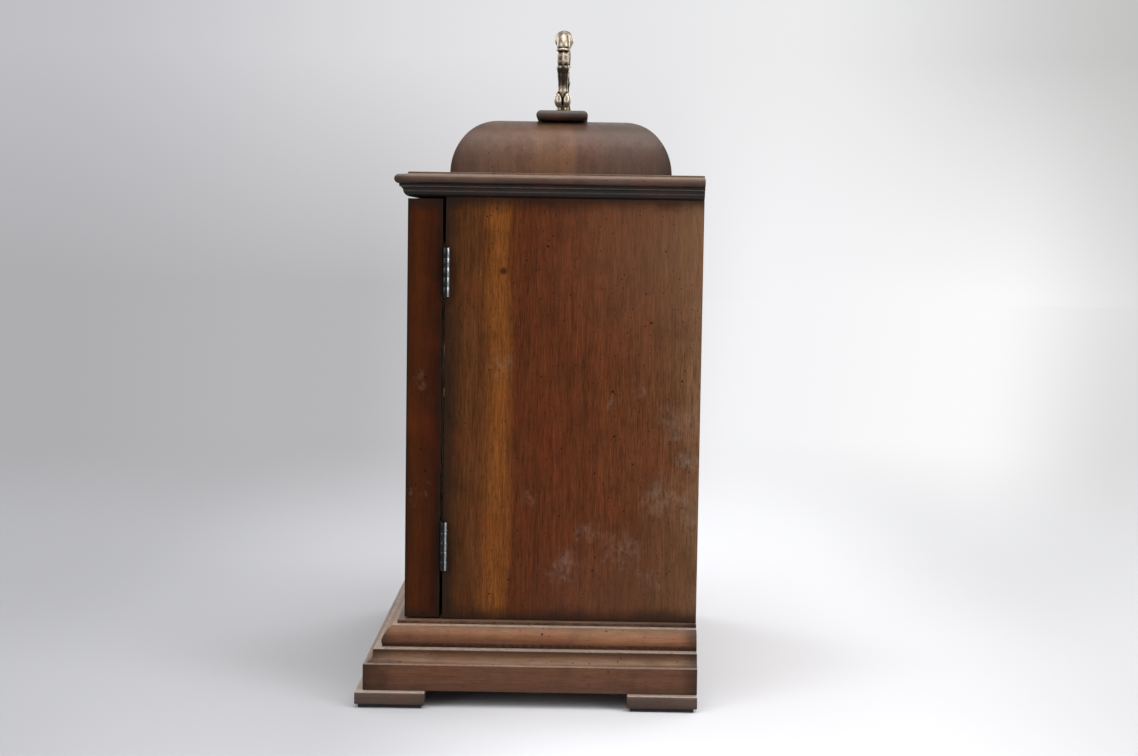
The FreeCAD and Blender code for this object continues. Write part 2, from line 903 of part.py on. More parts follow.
def handle_arm(arm_x, arm_top):
    # upright arm on the +X side, waisted above the axis, with the handle's axis at the origin
    full = arm_top - bead_drop
    return turned(
        [(0, 0), (neck_radius, 0), (neck_radius, full * 0.4), (arm_radius, full), (arm_radius, arm_top),
         (0, arm_top)],
        arm_x, 0,
    )


def handle_bead(arm_x, low):
    # six-sided bead round the arm, one corner to the outside
    turns = [math.radians(60 * k) for k in range(6)]
    levels = ((0, arm_radius * 0.8), (bead_height * 0.3, bead_radius), (bead_height, bead_radius * 0.9))
    rings = []
    for z, radius in levels:
        corners = [V(arm_x + radius * math.cos(t), radius * math.sin(t), low + z) for t in turns]
        rings.append(Part.makePolygon(corners + corners[:1]))
    return Part.makeLoft(rings, True, True)


def handle_bend(arm_x, arm_top, rise):
    # bend from the upright arm into the rising grip
    sections = []
    for share in (0, 0.25, 0.5, 0.75, 1):
        turn = math.radians((90 - rise) * share)
        out = V(math.cos(turn), 0, math.sin(turn))
        centre = V(arm_x - bend_radius, 0, arm_top) + out * bend_radius
        sections.append(Part.Wire(Part.makeCircle(arm_radius, centre, V(-out.z, 0, out.x))))
    return Part.makeLoft(sections, True)


def half_grip(run, rise):
    # half of the grip with its collar, turned about its own sloping axis, from the ball outwards
    collar = grip_collar_out - grip_collar_width / 2
    slope = (arm_radius - grip_radius) / run
    points = [
        (0, 0), (0, grip_radius), (collar, grip_radius + slope * collar), (collar, grip_collar_radius),
        (collar + grip_collar_width, grip_collar_radius),
        (collar + grip_collar_width, grip_radius + slope * (collar + grip_collar_width)),
        (run, arm_radius), (run, 0),
    ]
    corners = [V(p, 0, r) for p, r in points]
    face = Part.Face(Part.makePolygon(corners + corners[:1]))
    grip = face.revolve(V(0, 0, 0), V(1, 0, 0), 360)
    grip.rotate(V(0, 0, 0), V(0, 1, 0), rise)
    grip.translate(V(0, 0, handle_reach))
    return grip


def make_handle():
    plinth = bullnose_prism(plinth_length, plinth_depth, True)
    plinth = plinth.common(bullnose_prism(plinth_depth, plinth_length, False))
    head = post_head_width / 2
    posts = []
    for x in (-post_spacing / 2, post_spacing / 2):
        plinth = plinth.cut(rod_along_z(post_stud_radius, cap_z, plinth_top, x, bell_mid))
        body = turned(
            [
                (0, plinth_top - post_stud_length), (post_stud_radius, plinth_top - post_stud_length),
                (post_stud_radius, plinth_top), (post_base_radius, plinth_top),
                (post_base_radius, plinth_top + post_base_height * 0.5),
                (post_neck_radius, plinth_top + post_base_height),
                (head, handle_z - head), (0, handle_z - head),
            ],
            x, bell_mid,
        )
        ring = rod_along_x(post_head_radius, x - head, x + head, bell_mid, handle_z)
        post = body.fuse(ring)
        bore = handle_pin_radius + handle_bore_clearance
        posts.append(post.cut(rod_along_x(bore, x - head, x + head, bell_mid, handle_z)))
    save("handle_plinth", [plinth])
    save("handle_posts", posts)

    eye_x = post_spacing / 2 + head + handle_side_clearance
    arm_x = eye_x + arm_inset
    slope = math.radians(grip_rise)
    out = arm_x - bend_radius * (1 - math.sin(slope))
    arm_top = handle_reach - bend_radius * math.cos(slope) - out * math.tan(slope)
    collar_low = arm_top - arm_collar_height
    bead_low = collar_low - arm_collar_gap - bead_height
    pin_x = eye_x - post_head_width - 2 * handle_side_clearance
    half = [
        half_grip(out / math.cos(slope), grip_rise),
        handle_bend(arm_x, arm_top, grip_rise),
        handle_arm(arm_x, arm_top),
        handle_bead(arm_x, bead_low),
        Part.makeCylinder(arm_collar_radius, arm_collar_height, V(arm_x, 0, collar_low)),
        lobe(arm_x, -lobe_offset),
        lobe(arm_x, lobe_offset),
        rod_along_x(eye_radius, eye_x, eye_x + eye_thickness, 0, 0),
        rod_along_x(handle_pin_radius, pin_x, eye_x + eye_thickness / 2, 0, 0),
    ]
    ball = Part.makeSphere(grip_ball_radius, V(0, 0, handle_reach), V(1, 0, 0))
    bail = ball.fuse(half + [mirrored(piece) for piece in half])
    bail.translate(V(0, bell_mid, handle_z))
    save("handle_bail", [bail])


# ================================================================ dial
def make_dial():
    half_w = dial_width / 2
    half_h = dial_height / 2
    open_x = half_w - batten_lap
    open_low = dial_z - half_h + batten_lap
    open_high = dial_z + half_h - batten_lap
    y1 = dial_back + batten_thickness
    battens = [
        block(-inner_x, -open_x, dial_back, y1, floor_z, crown_z),
        block(open_x, inner_x, dial_back, y1, floor_z, crown_z),
        block(-open_x, open_x, dial_back, y1, floor_z, open_low),
        block(-open_x, open_x, dial_back, y1, open_high, crown_z),
    ]
    plate = block(-half_w, half_w, dial_front, dial_back, dial_z - half_h, dial_z + half_h)
    plate = plate.cut(rod_along_y(dial_hole, dial_front, dial_back, centre_at))
    plate = plate.cut(rod_along_y(winding_hole, dial_front, dial_back, barrel_at))
    for screw in dial_screws():
        battens = [b.cut(screw) for b in battens]
        plate = plate.cut(screw)
    feet = []
    for sx in (-1, 1):
        for sz in (-1, 1):
            at = (sx * dial_foot_offset, dial_z + sz * dial_foot_offset)
            foot = rod_along_y(dial_foot_radius, dial_back, plate_front, at)
            spigot = rod_along_y(dial_foot_spigot, dial_front, plate_back + 1.5, at)
            feet.append(foot.fuse(spigot).removeSplitter())
            plate = plate.cut(rod_along_y(dial_foot_spigot, dial_front, dial_back, at))
    save("dial_battens", battens)
    save("dial_plate", [plate])
    save("dial_feet", feet)

    ring = rod_along_y(chapter_outer, chapter_front, dial_front, centre_at)
    ring = ring.cut(rod_along_y(chapter_inner, chapter_front, dial_front, centre_at))
    save("chapter_ring", [ring])

    # corner ornament: curved triangle that follows the ring, pierced three times
    corner = half_w - spandrel_side_gap
    leg = corner - spandrel_leg
    y0 = dial_front - spandrel_thickness
    spandrel = prism_y([(corner, dial_z + corner), (leg, dial_z + corner), (corner, dial_z + leg)],
                       y0, dial_front)
    spandrel = spandrel.cut(rod_along_y(chapter_outer + spandrel_gap, y0, dial_front, centre_at))
    middle = corner - spandrel_leg * 0.2
    low = corner - spandrel_leg * 0.5
    edge = corner - spandrel_leg * 0.12
    for px, pz in ((middle, middle), (low, edge), (edge, low)):
        spandrel = spandrel.cut(rod_along_y(spandrel_hole, y0, dial_front, (px, dial_z + pz)))
    pair = [spandrel, mirrored(spandrel)]
    lower = [s.mirror(V(0, 0, dial_z), V(0, 0, 1)) for s in pair]
    save("dial_spandrels", pair + lower)


def hand_blade(length, hub, widths, y0):
    # flat hand pointing along +Z from the dial's centre; widths are (share of length, half width)
    right = [(w, dial_z + s * length) for s, w in widths]
    left = [(-w, z) for w, z in reversed(right) if w > 0]
    blade = prism_y(right + left, y0, y0 + hand_thickness)
    return blade.fuse(rod_along_y(hub, y0, y0 + hand_thickness, centre_at)).removeSplitter()


def hour_angle():
    return 360 * (10 + 9.0 / 60) / 12


def minute_angle():
    return 360 * 9.0 / 60


def set_hand(hand, angle):
    # clockwise as seen from the front
    hand.rotate(V(0, 0, dial_z), V(0, 1, 0), angle)
    return hand


def make_hands():
    hour_y = chapter_front - hour_hand_lift - hand_thickness
    minute_y = hour_y - minute_hand_gap - hand_thickness
    hour = hand_blade(
        hour_hand_length, hour_hub_radius,
        [(0.0, 2.2), (0.35, 1.8), (0.45, 4.2), (0.58, 5.6), (0.68, 4.0), (0.78, 1.4), (1.0, 0.0)],
        hour_y,
    )
    hour = hour.cut(rod_along_y(hour_pipe, hour_y, hour_y + hand_thickness, centre_at))
    minute = hand_blade(
        minute_hand_length, minute_hub_radius,
        [(0.0, 1.9), (0.5, 1.3), (0.58, 2.8), (0.66, 3.6), (0.74, 2.4), (0.8, 1.0), (1.0, 0.0)],
        minute_y,
    )
    minute = minute.cut(rod_along_y(cannon_pipe, minute_y, minute_y + hand_thickness, centre_at))
    save("hour_hand", [set_hand(hour, hour_angle())])
    save("minute_hand", [set_hand(minute, minute_angle())])
    return hour_y, minute_y


# ================================================================ wheels
def teeth_outline(count, module, add, ded, width, at, phase):
    # flat-sided teeth with pointed-arch tips and narrow flanks: they clear each other at every angle
    pitch = 2 * math.pi / count
    radius = count * module / 2
    tip = width * 0.3
    waist = width * 0.72
    shape = (
        (radius - ded * module, -width * 1.05), (radius, -width), (radius + 0.55 * add * module, -waist),
        (radius + add * module, -tip), (radius + add * module, tip),
        (radius + 0.55 * add * module, waist), (radius, width), (radius - ded * module, width * 1.05),
    )
    points = []
    for i in range(count):
        for r, w in shape:
            a = phase + pitch * (i + w / 2)
            points.append((at[0] + r * math.cos(a), at[1] + r * math.sin(a)))
    return points


def wheel_blank(count, module, at, phase, y0, y1, hole):
    outline = teeth_outline(count, module, wheel_addendum, wheel_dedendum, wheel_tooth, at, phase)
    return prism_y(outline, y0, y1).cut(rod_along_y(hole, y0, y1, at))


def pinion_blank(count, module, at, phase, y0, y1):
    outline = teeth_outline(count, module, pinion_addendum, pinion_dedendum, pinion_tooth, at, phase)
    return prism_y(outline, y0, y1)


def crossed_out(wheel, count, module, at, y0, y1, hub):
    # four windows between hub, rim and arms
    rim = count * module / 2 - wheel_dedendum * module - crossing_rim
    ring = rod_along_y(rim, y0, y1, at).cut(rod_along_y(hub, y0, y1, at))
    half = crossing_arm / 2
    ring = ring.cut(block(at[0] - rim, at[0] + rim, y0, y1, at[1] - half, at[1] + half))
    ring = ring.cut(block(at[0] - half, at[0] + half, y0, y1, at[1] - rim, at[1] + rim))
    return wheel.cut(ring)


def mesh_phase(at, phase, count, other_at, other_count):
    # turns the second wheel so that its teeth stand in the first wheel's gaps
    way = math.atan2(other_at[1] - at[1], other_at[0] - at[0])
    pitch = 2 * math.pi / count
    ahead = (phase - way) % pitch
    return way + math.pi + math.pi / other_count - ahead * count / other_count


def plane(start):
    # distance behind the front plate, as a Y position
    return plate_back + start


def arbor(at, y0, y1):
    # arbor between the plates with a pivot at each end
    solid = rod_along_y(arbor_radius, plate_back + end_shake, rear_plate_front - end_shake, at)
    return solid.fuse(rod_along_y(pivot_radius, y0, y1, at))


def full_arbor(at):
    return arbor(at, plate_back - pivot_length, rear_plate_front + pivot_length)


def make_train():
    # phases from the barrel up, so that every pair is in mesh at rest
    great_phase = 0.0
    second_phase = mesh_phase(barrel_at, great_phase, great_teeth, second_at, great_pinion)
    centre_phase = mesh_phase(second_at, second_phase, second_teeth, centre_at, centre_pinion)
    third_phase = mesh_phase(centre_at, centre_phase, centre_teeth, third_at, third_pinion)
    escape_phase = mesh_phase(third_at, third_phase, third_teeth, escape_at, escape_pinion)

    y0 = plane(second_plane)
    y1 = y0 + second_thick
    g0 = plane(great_plane) - pinion_overlap
    g1 = plane(great_plane) + great_thick + pinion_overlap
    body = full_arbor(second_at).fuse(
        pinion_blank(great_pinion, great_module, second_at, second_phase, g0, g1)
    )
    wheel = wheel_blank(second_teeth, second_module, second_at, second_phase, y0, y1, arbor_radius)
    wheel = crossed_out(wheel, second_teeth, second_module, second_at, y0, y1, crossing_hub)
    save("intermediate_wheel", [wheel, body])

    c0 = plane(centre_plane)
    c1 = c0 + centre_thick
    p0 = y0 - pinion_overlap
    p1 = y1 + pinion_overlap
    front_end = minute_y - hand_nut_height - 0.4
    body = rod_along_y(arbor_radius, plate_back + end_shake, rear_plate_front - end_shake, centre_at)
    body = body.fuse(rod_along_y(pivot_radius, plate_back, rear_plate_front + pivot_length, centre_at))
    body = body.fuse(
        rod_along_y(centre_front_radius, front_end, plate_back + end_shake + 1.0, centre_at)
    )
    body = body.fuse(pinion_blank(centre_pinion, second_module, centre_at, centre_phase, p0, p1))
    wheel = wheel_blank(centre_teeth, centre_module, centre_at, centre_phase, c0, c1, arbor_radius)
    wheel = crossed_out(wheel, centre_teeth, centre_module, centre_at, c0, c1, crossing_hub)
    nut = rod_along_y(hand_nut_radius, minute_y - hand_nut_height, minute_y, centre_at)
    nut = nut.cut(rod_along_y(centre_front_radius, minute_y - hand_nut_height, minute_y, centre_at))
    save("centre_wheel", [wheel, body, nut])

    t0 = plane(third_plane)
    t1 = t0 + third_thick
    body = full_arbor(third_at).cut(
        rod_along_y(arbor_radius + 1, c0 - pinion_overlap, c1 + pinion_overlap, third_at)
    )
    body = body.fuse(
        pinion_blank(third_pinion, centre_module, third_at, third_phase,
                     c0 - pinion_overlap, c1 + pinion_overlap)
    )
    wheel = wheel_blank(third_teeth, third_module, third_at, third_phase, t0, t1, arbor_radius)
    wheel = crossed_out(wheel, third_teeth, third_module, third_at, t0, t1, crossing_hub)
    save("third_wheel", [wheel, body])

    e0 = plane(escape_plane)
    e1 = e0 + escape_thick
    body = full_arbor(escape_at).cut(
        rod_along_y(arbor_radius + 1, t0 - pinion_overlap, t1 + pinion_overlap, escape_at)
    )
    body = body.fuse(
        pinion_blank(escape_pinion, third_module, escape_at, escape_phase,
                     t0 - pinion_overlap, t1 + pinion_overlap)
    )
    outline = []
    pitch = 2 * math.pi / escape_teeth
    for i in range(escape_teeth):
        for r, share in ((escape_root, 0.0), (escape_radius, 0.62), (escape_radius, 0.72),
                         (escape_root, 0.86)):
            a = pitch * (i + share)
            outline.append((escape_at[0] + r * math.cos(a), escape_at[1] + r * math.sin(a)))
    wheel = prism_y(outline, e0, e1).cut(rod_along_y(arbor_radius, e0, e1, escape_at))
    ring = rod_along_y(escape_root - crossing_rim, e0, e1, escape_at)
    ring = ring.cut(rod_along_y(crossing_hub, e0, e1, escape_at))
    half = crossing_arm / 2
    ring = ring.cut(block(-escape_root, escape_root, e0, e1, escape_at[1] - half, escape_at[1] + half))
    ring = ring.cut(block(-half, half, e0, e1, escape_at[1] - escape_root, escape_at[1] + escape_root))
    save("escape_wheel", [wheel.cut(ring), body])
    return great_phase


def make_barrel(great_phase):
    # drum with the great wheel round its rear end, cap in front, coiled spring inside
    w0 = plane(great_plane)
    w1 = w0 + great_thick
    d0 = w0 - drum_length
    drum = rod_along_y(drum_radius, d0, w1, barrel_at)
    drum = drum.fuse(wheel_blank(great_teeth, great_module, barrel_at, great_phase, w0, w1, 1.0))
    inner = drum_radius - drum_wall
    drum = drum.cut(rod_along_y(inner, d0, w0, barrel_at))
    bore = barrel_arbor_radius + pivot_clearance
    drum = drum.cut(rod_along_y(bore, d0, w1, barrel_at))
    save("barrel_drum", [drum.removeSplitter()])
    cap = rod_along_y(inner, d0, d0 + barrel_cap_thickness, barrel_at)
    cap = cap.cut(rod_along_y(bore, d0, d0 + barrel_cap_thickness, barrel_at))
    save("barrel_cap", [cap])

    # spring strip run down against the drum wall: half turns with two centres, closing inwards
    s0 = d0 + barrel_cap_thickness + spring_side_gap
    s1 = w0 - spring_side_gap
    step = spring_pitch
    outer = inner - spring_wall_gap
    walk_out = []
    walk_in = []
    radius = outer
    middle = barrel_at[0]
    z = barrel_at[1]
    for i in range(2 * spring_turns):
        side = 1 if i % 2 == 0 else -1
        for walk, r in ((walk_out, radius), (walk_in, radius - spring_strip)):
            start = V(middle + side * r, s0, z)
            top = V(middle, s0, z + side * r)
            end = V(middle - side * r, s0, z)
            walk.append((start, top, end))
        middle -= side * step / 2
        radius -= step / 2
    edges = [Part.Arc(*arc).toShape() for arc in walk_out]
    edges.append(Part.LineSegment(walk_out[-1][2], walk_in[-1][2]).toShape())
    edges += [Part.Arc(arc[2], arc[1], arc[0]).toShape() for arc in reversed(walk_in)]
    edges.append(Part.LineSegment(walk_in[0][0], walk_out[0][0]).toShape())
    save("mainspring", [Part.Face(Part.Wire(edges)).extrude(V(0, s1 - s0, 0))])


def ratchet_plane():
    return plate_front - ratchet_gap - ratchet_thick


def make_winding():
    y0 = ratchet_plane()
    y1 = y0 + ratchet_thick
    front_end = y0 - winding_length
    half = winding_square / 2
    square = block(-half, half, front_end, y1, barrel_at[1] - half, barrel_at[1] + half)
    body = rod_along_y(barrel_front_pivot, y1, plate_back + end_shake, barrel_at)
    body = body.fuse(rod_along_y(barrel_arbor_radius, plate_back + end_shake,
                                 rear_plate_front - end_shake, barrel_at))
    body = body.fuse(rod_along_y(barrel_rear_pivot, rear_plate_front - end_shake,
                                 rear_plate_front + pivot_length, barrel_at))
    body = body.fuse(square)
    outline = []
    pitch = 2 * math.pi / ratchet_teeth
    for i in range(ratchet_teeth):
        for r, share in ((ratchet_root, 0.0), (ratchet_radius, 0.9), (ratchet_radius, 0.98)):
            a = pitch * (i + share)
            outline.append((barrel_at[0] + r * math.cos(a), barrel_at[1] + r * math.sin(a)))
    ratchet = prism_y(outline, y0, y1).cut(square)
    save("barrel_arbor", [ratchet, body])

    cx = barrel_at[0] + click_x
    cz = barrel_at[1] + click_z
    tip_r = ratchet_radius + click_clear
    tip = (barrel_at[0] + tip_r * math.cos(math.radians(100)),
           barrel_at[1] + tip_r * math.sin(math.radians(100)))
    arm = prism_y([(cx + 0.5, cz - 2.6), tip, (tip[0], tip[1] + 1.2), (cx + 0.5, cz + 2.9)], y0, y1)
    click = arm.fuse(rod_along_y(click_hub, y0, y1, (cx, cz)))
    click = click.cut(rod_along_y(click_screw_radius + thread_clearance, y0, y1, (cx, cz)))
    save("click", [click.removeSplitter()])

    # flat spring above the click, screwed to the plate at its upper end
    top = cz + 2.9
    blade = prism_y(
        [
            (cx + 3.2, top - 0.35), (cx + 4.4, top - 0.1), (cx + 12.0, top + 9.0),
            (cx + 12.0, top + 14.0), (cx + 8.0, top + 14.0), (cx + 8.0, top + 8.0),
            (cx + 6.8, top + 5.2),
        ],
        y0, plate_front,
    )
    blade = blade.cut(rod_along_y(click_screw_radius, y0, plate_front, (cx + 10.0, top + 11.5)))
    save("click_spring", [blade])
    return (cx, cz), (cx + 10.0, top + 11.5)


def make_motion_work(hour_y, minute_hand_y):
    # cannon pinion, minute wheel with its pinion, hour wheel with its pipe
    y0 = plate_front - cannon_plane - cannon_thick
    y1 = plate_front - cannon_plane
    cannon_phase = 0.0
    stud_phase = mesh_phase(centre_at, cannon_phase, cannon_teeth, stud_at, minute_teeth)
    cannon = pinion_blank(cannon_teeth, cannon_module, centre_at, cannon_phase, y0, y1)
    cannon = cannon.fuse(rod_along_y(cannon_pipe, minute_hand_y, plate_front - end_shake, centre_at))
    cannon = cannon.cut(
        rod_along_y(centre_front_radius, minute_hand_y, plate_front - end_shake, centre_at)
    )
    save("cannon_pinion", [cannon])

    m1 = plate_front - minute_plane
    m0 = m1 - minute_thick
    wheel = wheel_blank(minute_teeth, cannon_module, stud_at, stud_phase, m0, m1, 1.0)
    leaves = pinion_blank(minute_pinion, hour_module, stud_at, stud_phase, m0 - minute_pinion_length, m0)
    bore = rod_along_y(minute_stud_radius + pivot_clearance, m0 - minute_pinion_length, m1, stud_at)
    save("minute_wheel", [wheel.fuse(leaves).cut(bore)])

    h1 = plate_front - hour_plane
    h0 = h1 - hour_thick
    hour_phase = mesh_phase(stud_at, stud_phase, minute_pinion, centre_at, hour_teeth)
    hour = wheel_blank(hour_teeth, hour_module, centre_at, hour_phase, h0, h1, 1.0)
    hour = hour.fuse(rod_along_y(hour_pipe, hour_y, h0, centre_at))
    hour = hour.cut(rod_along_y(cannon_pipe + pipe_clearance, hour_y, h1, centre_at))
    save("hour_wheel", [hour])
    return m0 - minute_pinion_length, m1


# ================================================================ plates, pillars, screws
def pillar_places():
    low = dial_z - pillar_low
    high = dial_z + pillar_high
    return [(x, z) for x in (-pillar_x, pillar_x) for z in (low, high)]


def headed_screw(at, face_y, depth, sign, head, radius):
    # round head outside the face, shank into the work
    head_y = face_y - sign * plate_screw_head_height
    tip_y = face_y + sign * depth
    cap = rod_along_y(head, min(face_y, head_y), max(face_y, head_y), at)
    return cap.fuse(rod_along_y(radius, min(head_y, tip_y), max(head_y, tip_y), at)).removeSplitter()


def seat_bolts():
    # two bolts up through the seatboard into the lower pillars
    seat_low = dial_z - plate_below - seat_thickness
    tip = dial_z - pillar_low - pillar_radius + seat_bolt_grip
    middle = (plate_back + rear_plate_front) / 2
    bolts = []
    for x in (-pillar_x, pillar_x):
        head = rod_along_z(seat_bolt_head, seat_low - seat_bolt_head_height, seat_low, x, middle)
        shank = rod_along_z(seat_bolt_radius, seat_low - seat_bolt_head_height, tip, x, middle)
        bolts.append(head.fuse(shank).removeSplitter())
    return bolts


def make_plates(click_at, spring_at, stud_y0, stud_y1):
    low = dial_z - plate_below
    high = dial_z + plate_above
    front = block(-plate_half_width, plate_half_width, plate_front, plate_back, low, high)
    rear = block(-plate_half_width, plate_half_width, rear_plate_front, rear_plate_back, low, high)
    pivot_bore = pivot_radius + pivot_clearance
    for at in (second_at, third_at, escape_at, anchor_at):
        front = front.cut(rod_along_y(pivot_bore, plate_front, plate_back, at))
    front = front.cut(
        rod_along_y(centre_front_radius + pivot_clearance, plate_front, plate_back, centre_at)
    )
    front = front.cut(
        rod_along_y(barrel_front_pivot + pivot_clearance, plate_front, plate_back, barrel_at)
    )
    for at in (second_at, centre_at, third_at, escape_at):
        rear = rear.cut(rod_along_y(pivot_bore, rear_plate_front, rear_plate_back, at))
    rear = rear.cut(
        rod_along_y(barrel_rear_pivot + pivot_clearance, rear_plate_front, rear_plate_back, barrel_at)
    )
    rear = rear.cut(rod_along_y(arbor_hole_rear, rear_plate_front, rear_plate_back, anchor_at))
    for sx in (-1, 1):
        for sz in (-1, 1):
            at = (sx * dial_foot_offset, dial_z + sz * dial_foot_offset)
            front = front.cut(rod_along_y(dial_foot_spigot, plate_front, plate_back, at))

    screws = []
    pillars = []
    middle = (plate_back + rear_plate_front) / 2
    for at in pillar_places():
        near = headed_screw(at, plate_front, plate_screw_depth, 1, plate_screw_head, plate_screw_radius)
        far = headed_screw(at, rear_plate_back, plate_screw_depth, -1, plate_screw_head,
                           plate_screw_radius)
        front = front.cut(near)
        rear = rear.cut(far)
        pillar = rod_along_y(pillar_radius, plate_back, rear_plate_front, at)
        for knop_y in (plate_back + 6, middle, rear_plate_front - 6):
            pillar = pillar.fuse(rod_along_y(pillar_knop, knop_y - 1.5, knop_y + 1.5, at))
        pillars.append(pillar.removeSplitter().cut(near).cut(far))
        screws += [near, far]
    bolts = seat_bolts()
    pillars = [p.cut(bolts[0]).cut(bolts[1]) for p in pillars]

    click_face = ratchet_plane() - 0.2
    click_screw = headed_screw(click_at, click_face, plate_back - click_face, 1,
                               plate_screw_head * 0.7, click_screw_radius)
    spring_screw = headed_screw(spring_at, ratchet_plane(), plate_back - ratchet_plane(), 1,
                                plate_screw_head * 0.6, click_screw_radius)
    stud = rod_along_y(minute_stud_radius, stud_y0 - 0.3, plate_back, stud_at)
    stud = stud.fuse(rod_along_y(minute_stud_shoulder, stud_y1 + end_shake, plate_front, stud_at))
    stud = stud.fuse(rod_along_y(minute_stud_shoulder, stud_y0 - 1.1, stud_y0 - end_shake, stud_at))
    for piece in (click_screw, spring_screw, stud):
        front = front.cut(piece)
    screws += [click_screw, spring_screw, stud.removeSplitter()]
    screws += bolts

    cock, cock_screws = make_cock()
    for piece in cock_screws:
        rear = rear.cut(piece)
    save("movement_front_plate", [front])
    save("movement_back_plate", [rear])
    save("plate_pillars", pillars)
    save("movement_screws", screws + cock_screws)
    save("back_cock", [cock])


def make_cock():
    # bracket behind the back plate that carries the anchor arbor's rear pivot
    z0 = anchor_at[1] + cock_foot_low
    z1 = anchor_at[1] + cock_foot_high
    y0 = rear_plate_back
    y1 = y0 + cock_reach + cock_thickness
    cock = block(-cock_half_width, cock_half_width, y0, y0 + cock_thickness, z0, z1)
    cock = cock.fuse(block(-cock_arm_half, cock_arm_half, y0, y1, z0, z0 + cock_thickness))
    cock = cock.fuse(
        block(-cock_arm_half, cock_arm_half, y0 + cock_reach, y1,
              anchor_at[1] - cock_arm_half, z0 + cock_thickness)
    ).removeSplitter()
    cock = cock.cut(rod_along_y(pivot_radius + pivot_clearance, y0 + cock_reach, y1, anchor_at))
    screws = []
    for x in (-cock_half_width + 3.5, cock_half_width - 3.5):
        at = (x, (z0 + z1) / 2)
        screw = headed_screw(at, y0 + cock_thickness, cock_thickness + plate_thickness, -1,
                             plate_screw_head * 0.8, plate_screw_radius)
        cock = cock.cut(screw)
        screws.append(screw)
    return cock, screws


# ================================================================ anchor and pendulum
def make_pendulum():
    y0 = plane(escape_plane) - (pallet_thick - escape_thick) / 2
    y1 = y0 + pallet_thick
    x, z = anchor_at
    end_y = rear_plate_back + cock_reach
    body = rod_along_y(arbor_radius, plate_back + end_shake, end_y - end_shake, anchor_at)
    body = body.fuse(rod_along_y(pivot_radius, plate_back - pivot_length, end_y + pivot_length, anchor_at))
    reach = escape_radius + pallet_gap
    tip_in = (reach * math.sin(math.radians(38)), escape_at[1] + reach * math.cos(math.radians(38)))
    tip_out = (reach * math.sin(math.radians(46)), escape_at[1] + reach * math.cos(math.radians(46)))
    right = [(0, z + 3.2), (3.0, z + 2.4), (11.5, z - 1.5), (12.6, z - 4.2), tip_out, tip_in,
             (3.2, z - 2.1), (0, z - 1.9)]
    left = [(-px, pz) for px, pz in reversed(right[1:-1])]
    pallets = prism_y(right + left, y0, y1).cut(rod_along_y(arbor_radius, y0, y1, anchor_at))
    save("anchor", [pallets, body])

    # rod with the collet that grips the arbor, screw thread end below the bob
    low = bob_z - bob_radius - rod_below_bob
    rod = rod_along_z(rod_radius, low, z, 0, rod_y)
    collet = rod_along_y(collet_radius, rod_y - collet_length / 2, rod_y + collet_length / 2, anchor_at)
    rod = rod.fuse(collet)
    rod = rod.cut(rod_along_y(arbor_radius, rod_y - collet_length / 2, rod_y + collet_length / 2, anchor_at))
    save("pendulum_rod", [rod])

    # lens-shaped bob
    edge = 1.2
    half = bob_thickness / 2
    curve = []
    for i in range(7):
        a = math.pi / 2 * i / 6
        curve.append((bob_radius * math.sin(a), rod_y - edge / 2 - (half - edge / 2) * math.cos(a)))
    back = [(r, 2 * rod_y - yy) for r, yy in reversed(curve)]
    bob = turned_y(curve + back, (0, bob_z))
    bob = bob.cut(rod_along_z(rod_radius, low, z, 0, rod_y))
    nut_top = bob_z - bob_radius - 0.2
    nut = rod_along_z(nut_radius, nut_top - nut_height, nut_top, 0, rod_y)
    nut = nut.cut(rod_along_z(rod_radius, low, z, 0, rod_y))
    save("pendulum_bob", [bob, nut])


make_mouldings()
make_bell()
make_case()
make_feet()
make_hinges()
make_door()
make_rear_door()
make_handle()
make_dial()
hour_y, minute_y = make_hands()
phase = make_train()
make_barrel(phase)
click_at, spring_at = make_winding()
stud_y0, stud_y1 = make_motion_work(hour_y, minute_y)
make_plates(click_at, spring_at, stud_y0, stud_y1)
make_pendulum()
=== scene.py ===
# %% [markdown]
# # A bracket clock, dressed over its frame
# The clock is already built as solids with joints. Here those solids are loaded as a fixed frame, and
# each visible piece gets the surface of the real one: satin lacquered wood, aged brass, dull steel,
# glass, silvered and gilt metal. The lesson starts with the frame, the camera and a few small helpers.

# %% Load the frame
import json
import math

import bmesh
import bpy
from mathutils import Matrix, Vector


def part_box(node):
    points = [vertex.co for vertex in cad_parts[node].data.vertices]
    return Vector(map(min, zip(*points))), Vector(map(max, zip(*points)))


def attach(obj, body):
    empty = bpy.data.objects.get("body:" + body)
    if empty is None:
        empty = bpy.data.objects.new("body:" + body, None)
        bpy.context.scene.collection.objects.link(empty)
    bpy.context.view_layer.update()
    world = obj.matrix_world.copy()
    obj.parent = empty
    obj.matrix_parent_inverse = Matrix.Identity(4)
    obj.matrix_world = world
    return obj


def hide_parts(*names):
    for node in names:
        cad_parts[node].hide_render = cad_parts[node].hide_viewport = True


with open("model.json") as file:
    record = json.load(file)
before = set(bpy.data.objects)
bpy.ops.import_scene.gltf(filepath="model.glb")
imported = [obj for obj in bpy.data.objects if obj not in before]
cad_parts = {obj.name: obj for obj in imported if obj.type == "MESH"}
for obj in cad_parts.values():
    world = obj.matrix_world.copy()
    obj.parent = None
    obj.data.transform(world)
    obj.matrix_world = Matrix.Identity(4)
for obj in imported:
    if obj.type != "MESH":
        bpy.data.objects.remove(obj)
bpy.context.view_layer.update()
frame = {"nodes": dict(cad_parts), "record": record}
nodes = frame["nodes"]
MM = 0.001
print("nodes loaded:", len(nodes))

# %% [markdown]
# ## Camera
# The photograph was taken from the clock's right-hand side with a lens of about 60 mm. The view is
# almost square on, tipped down by 4.5 degrees and turned by less than one degree. The picture is
# 1138 by 756 pixels, and the focal length in pixels gives the lens on a 36 mm wide sensor.

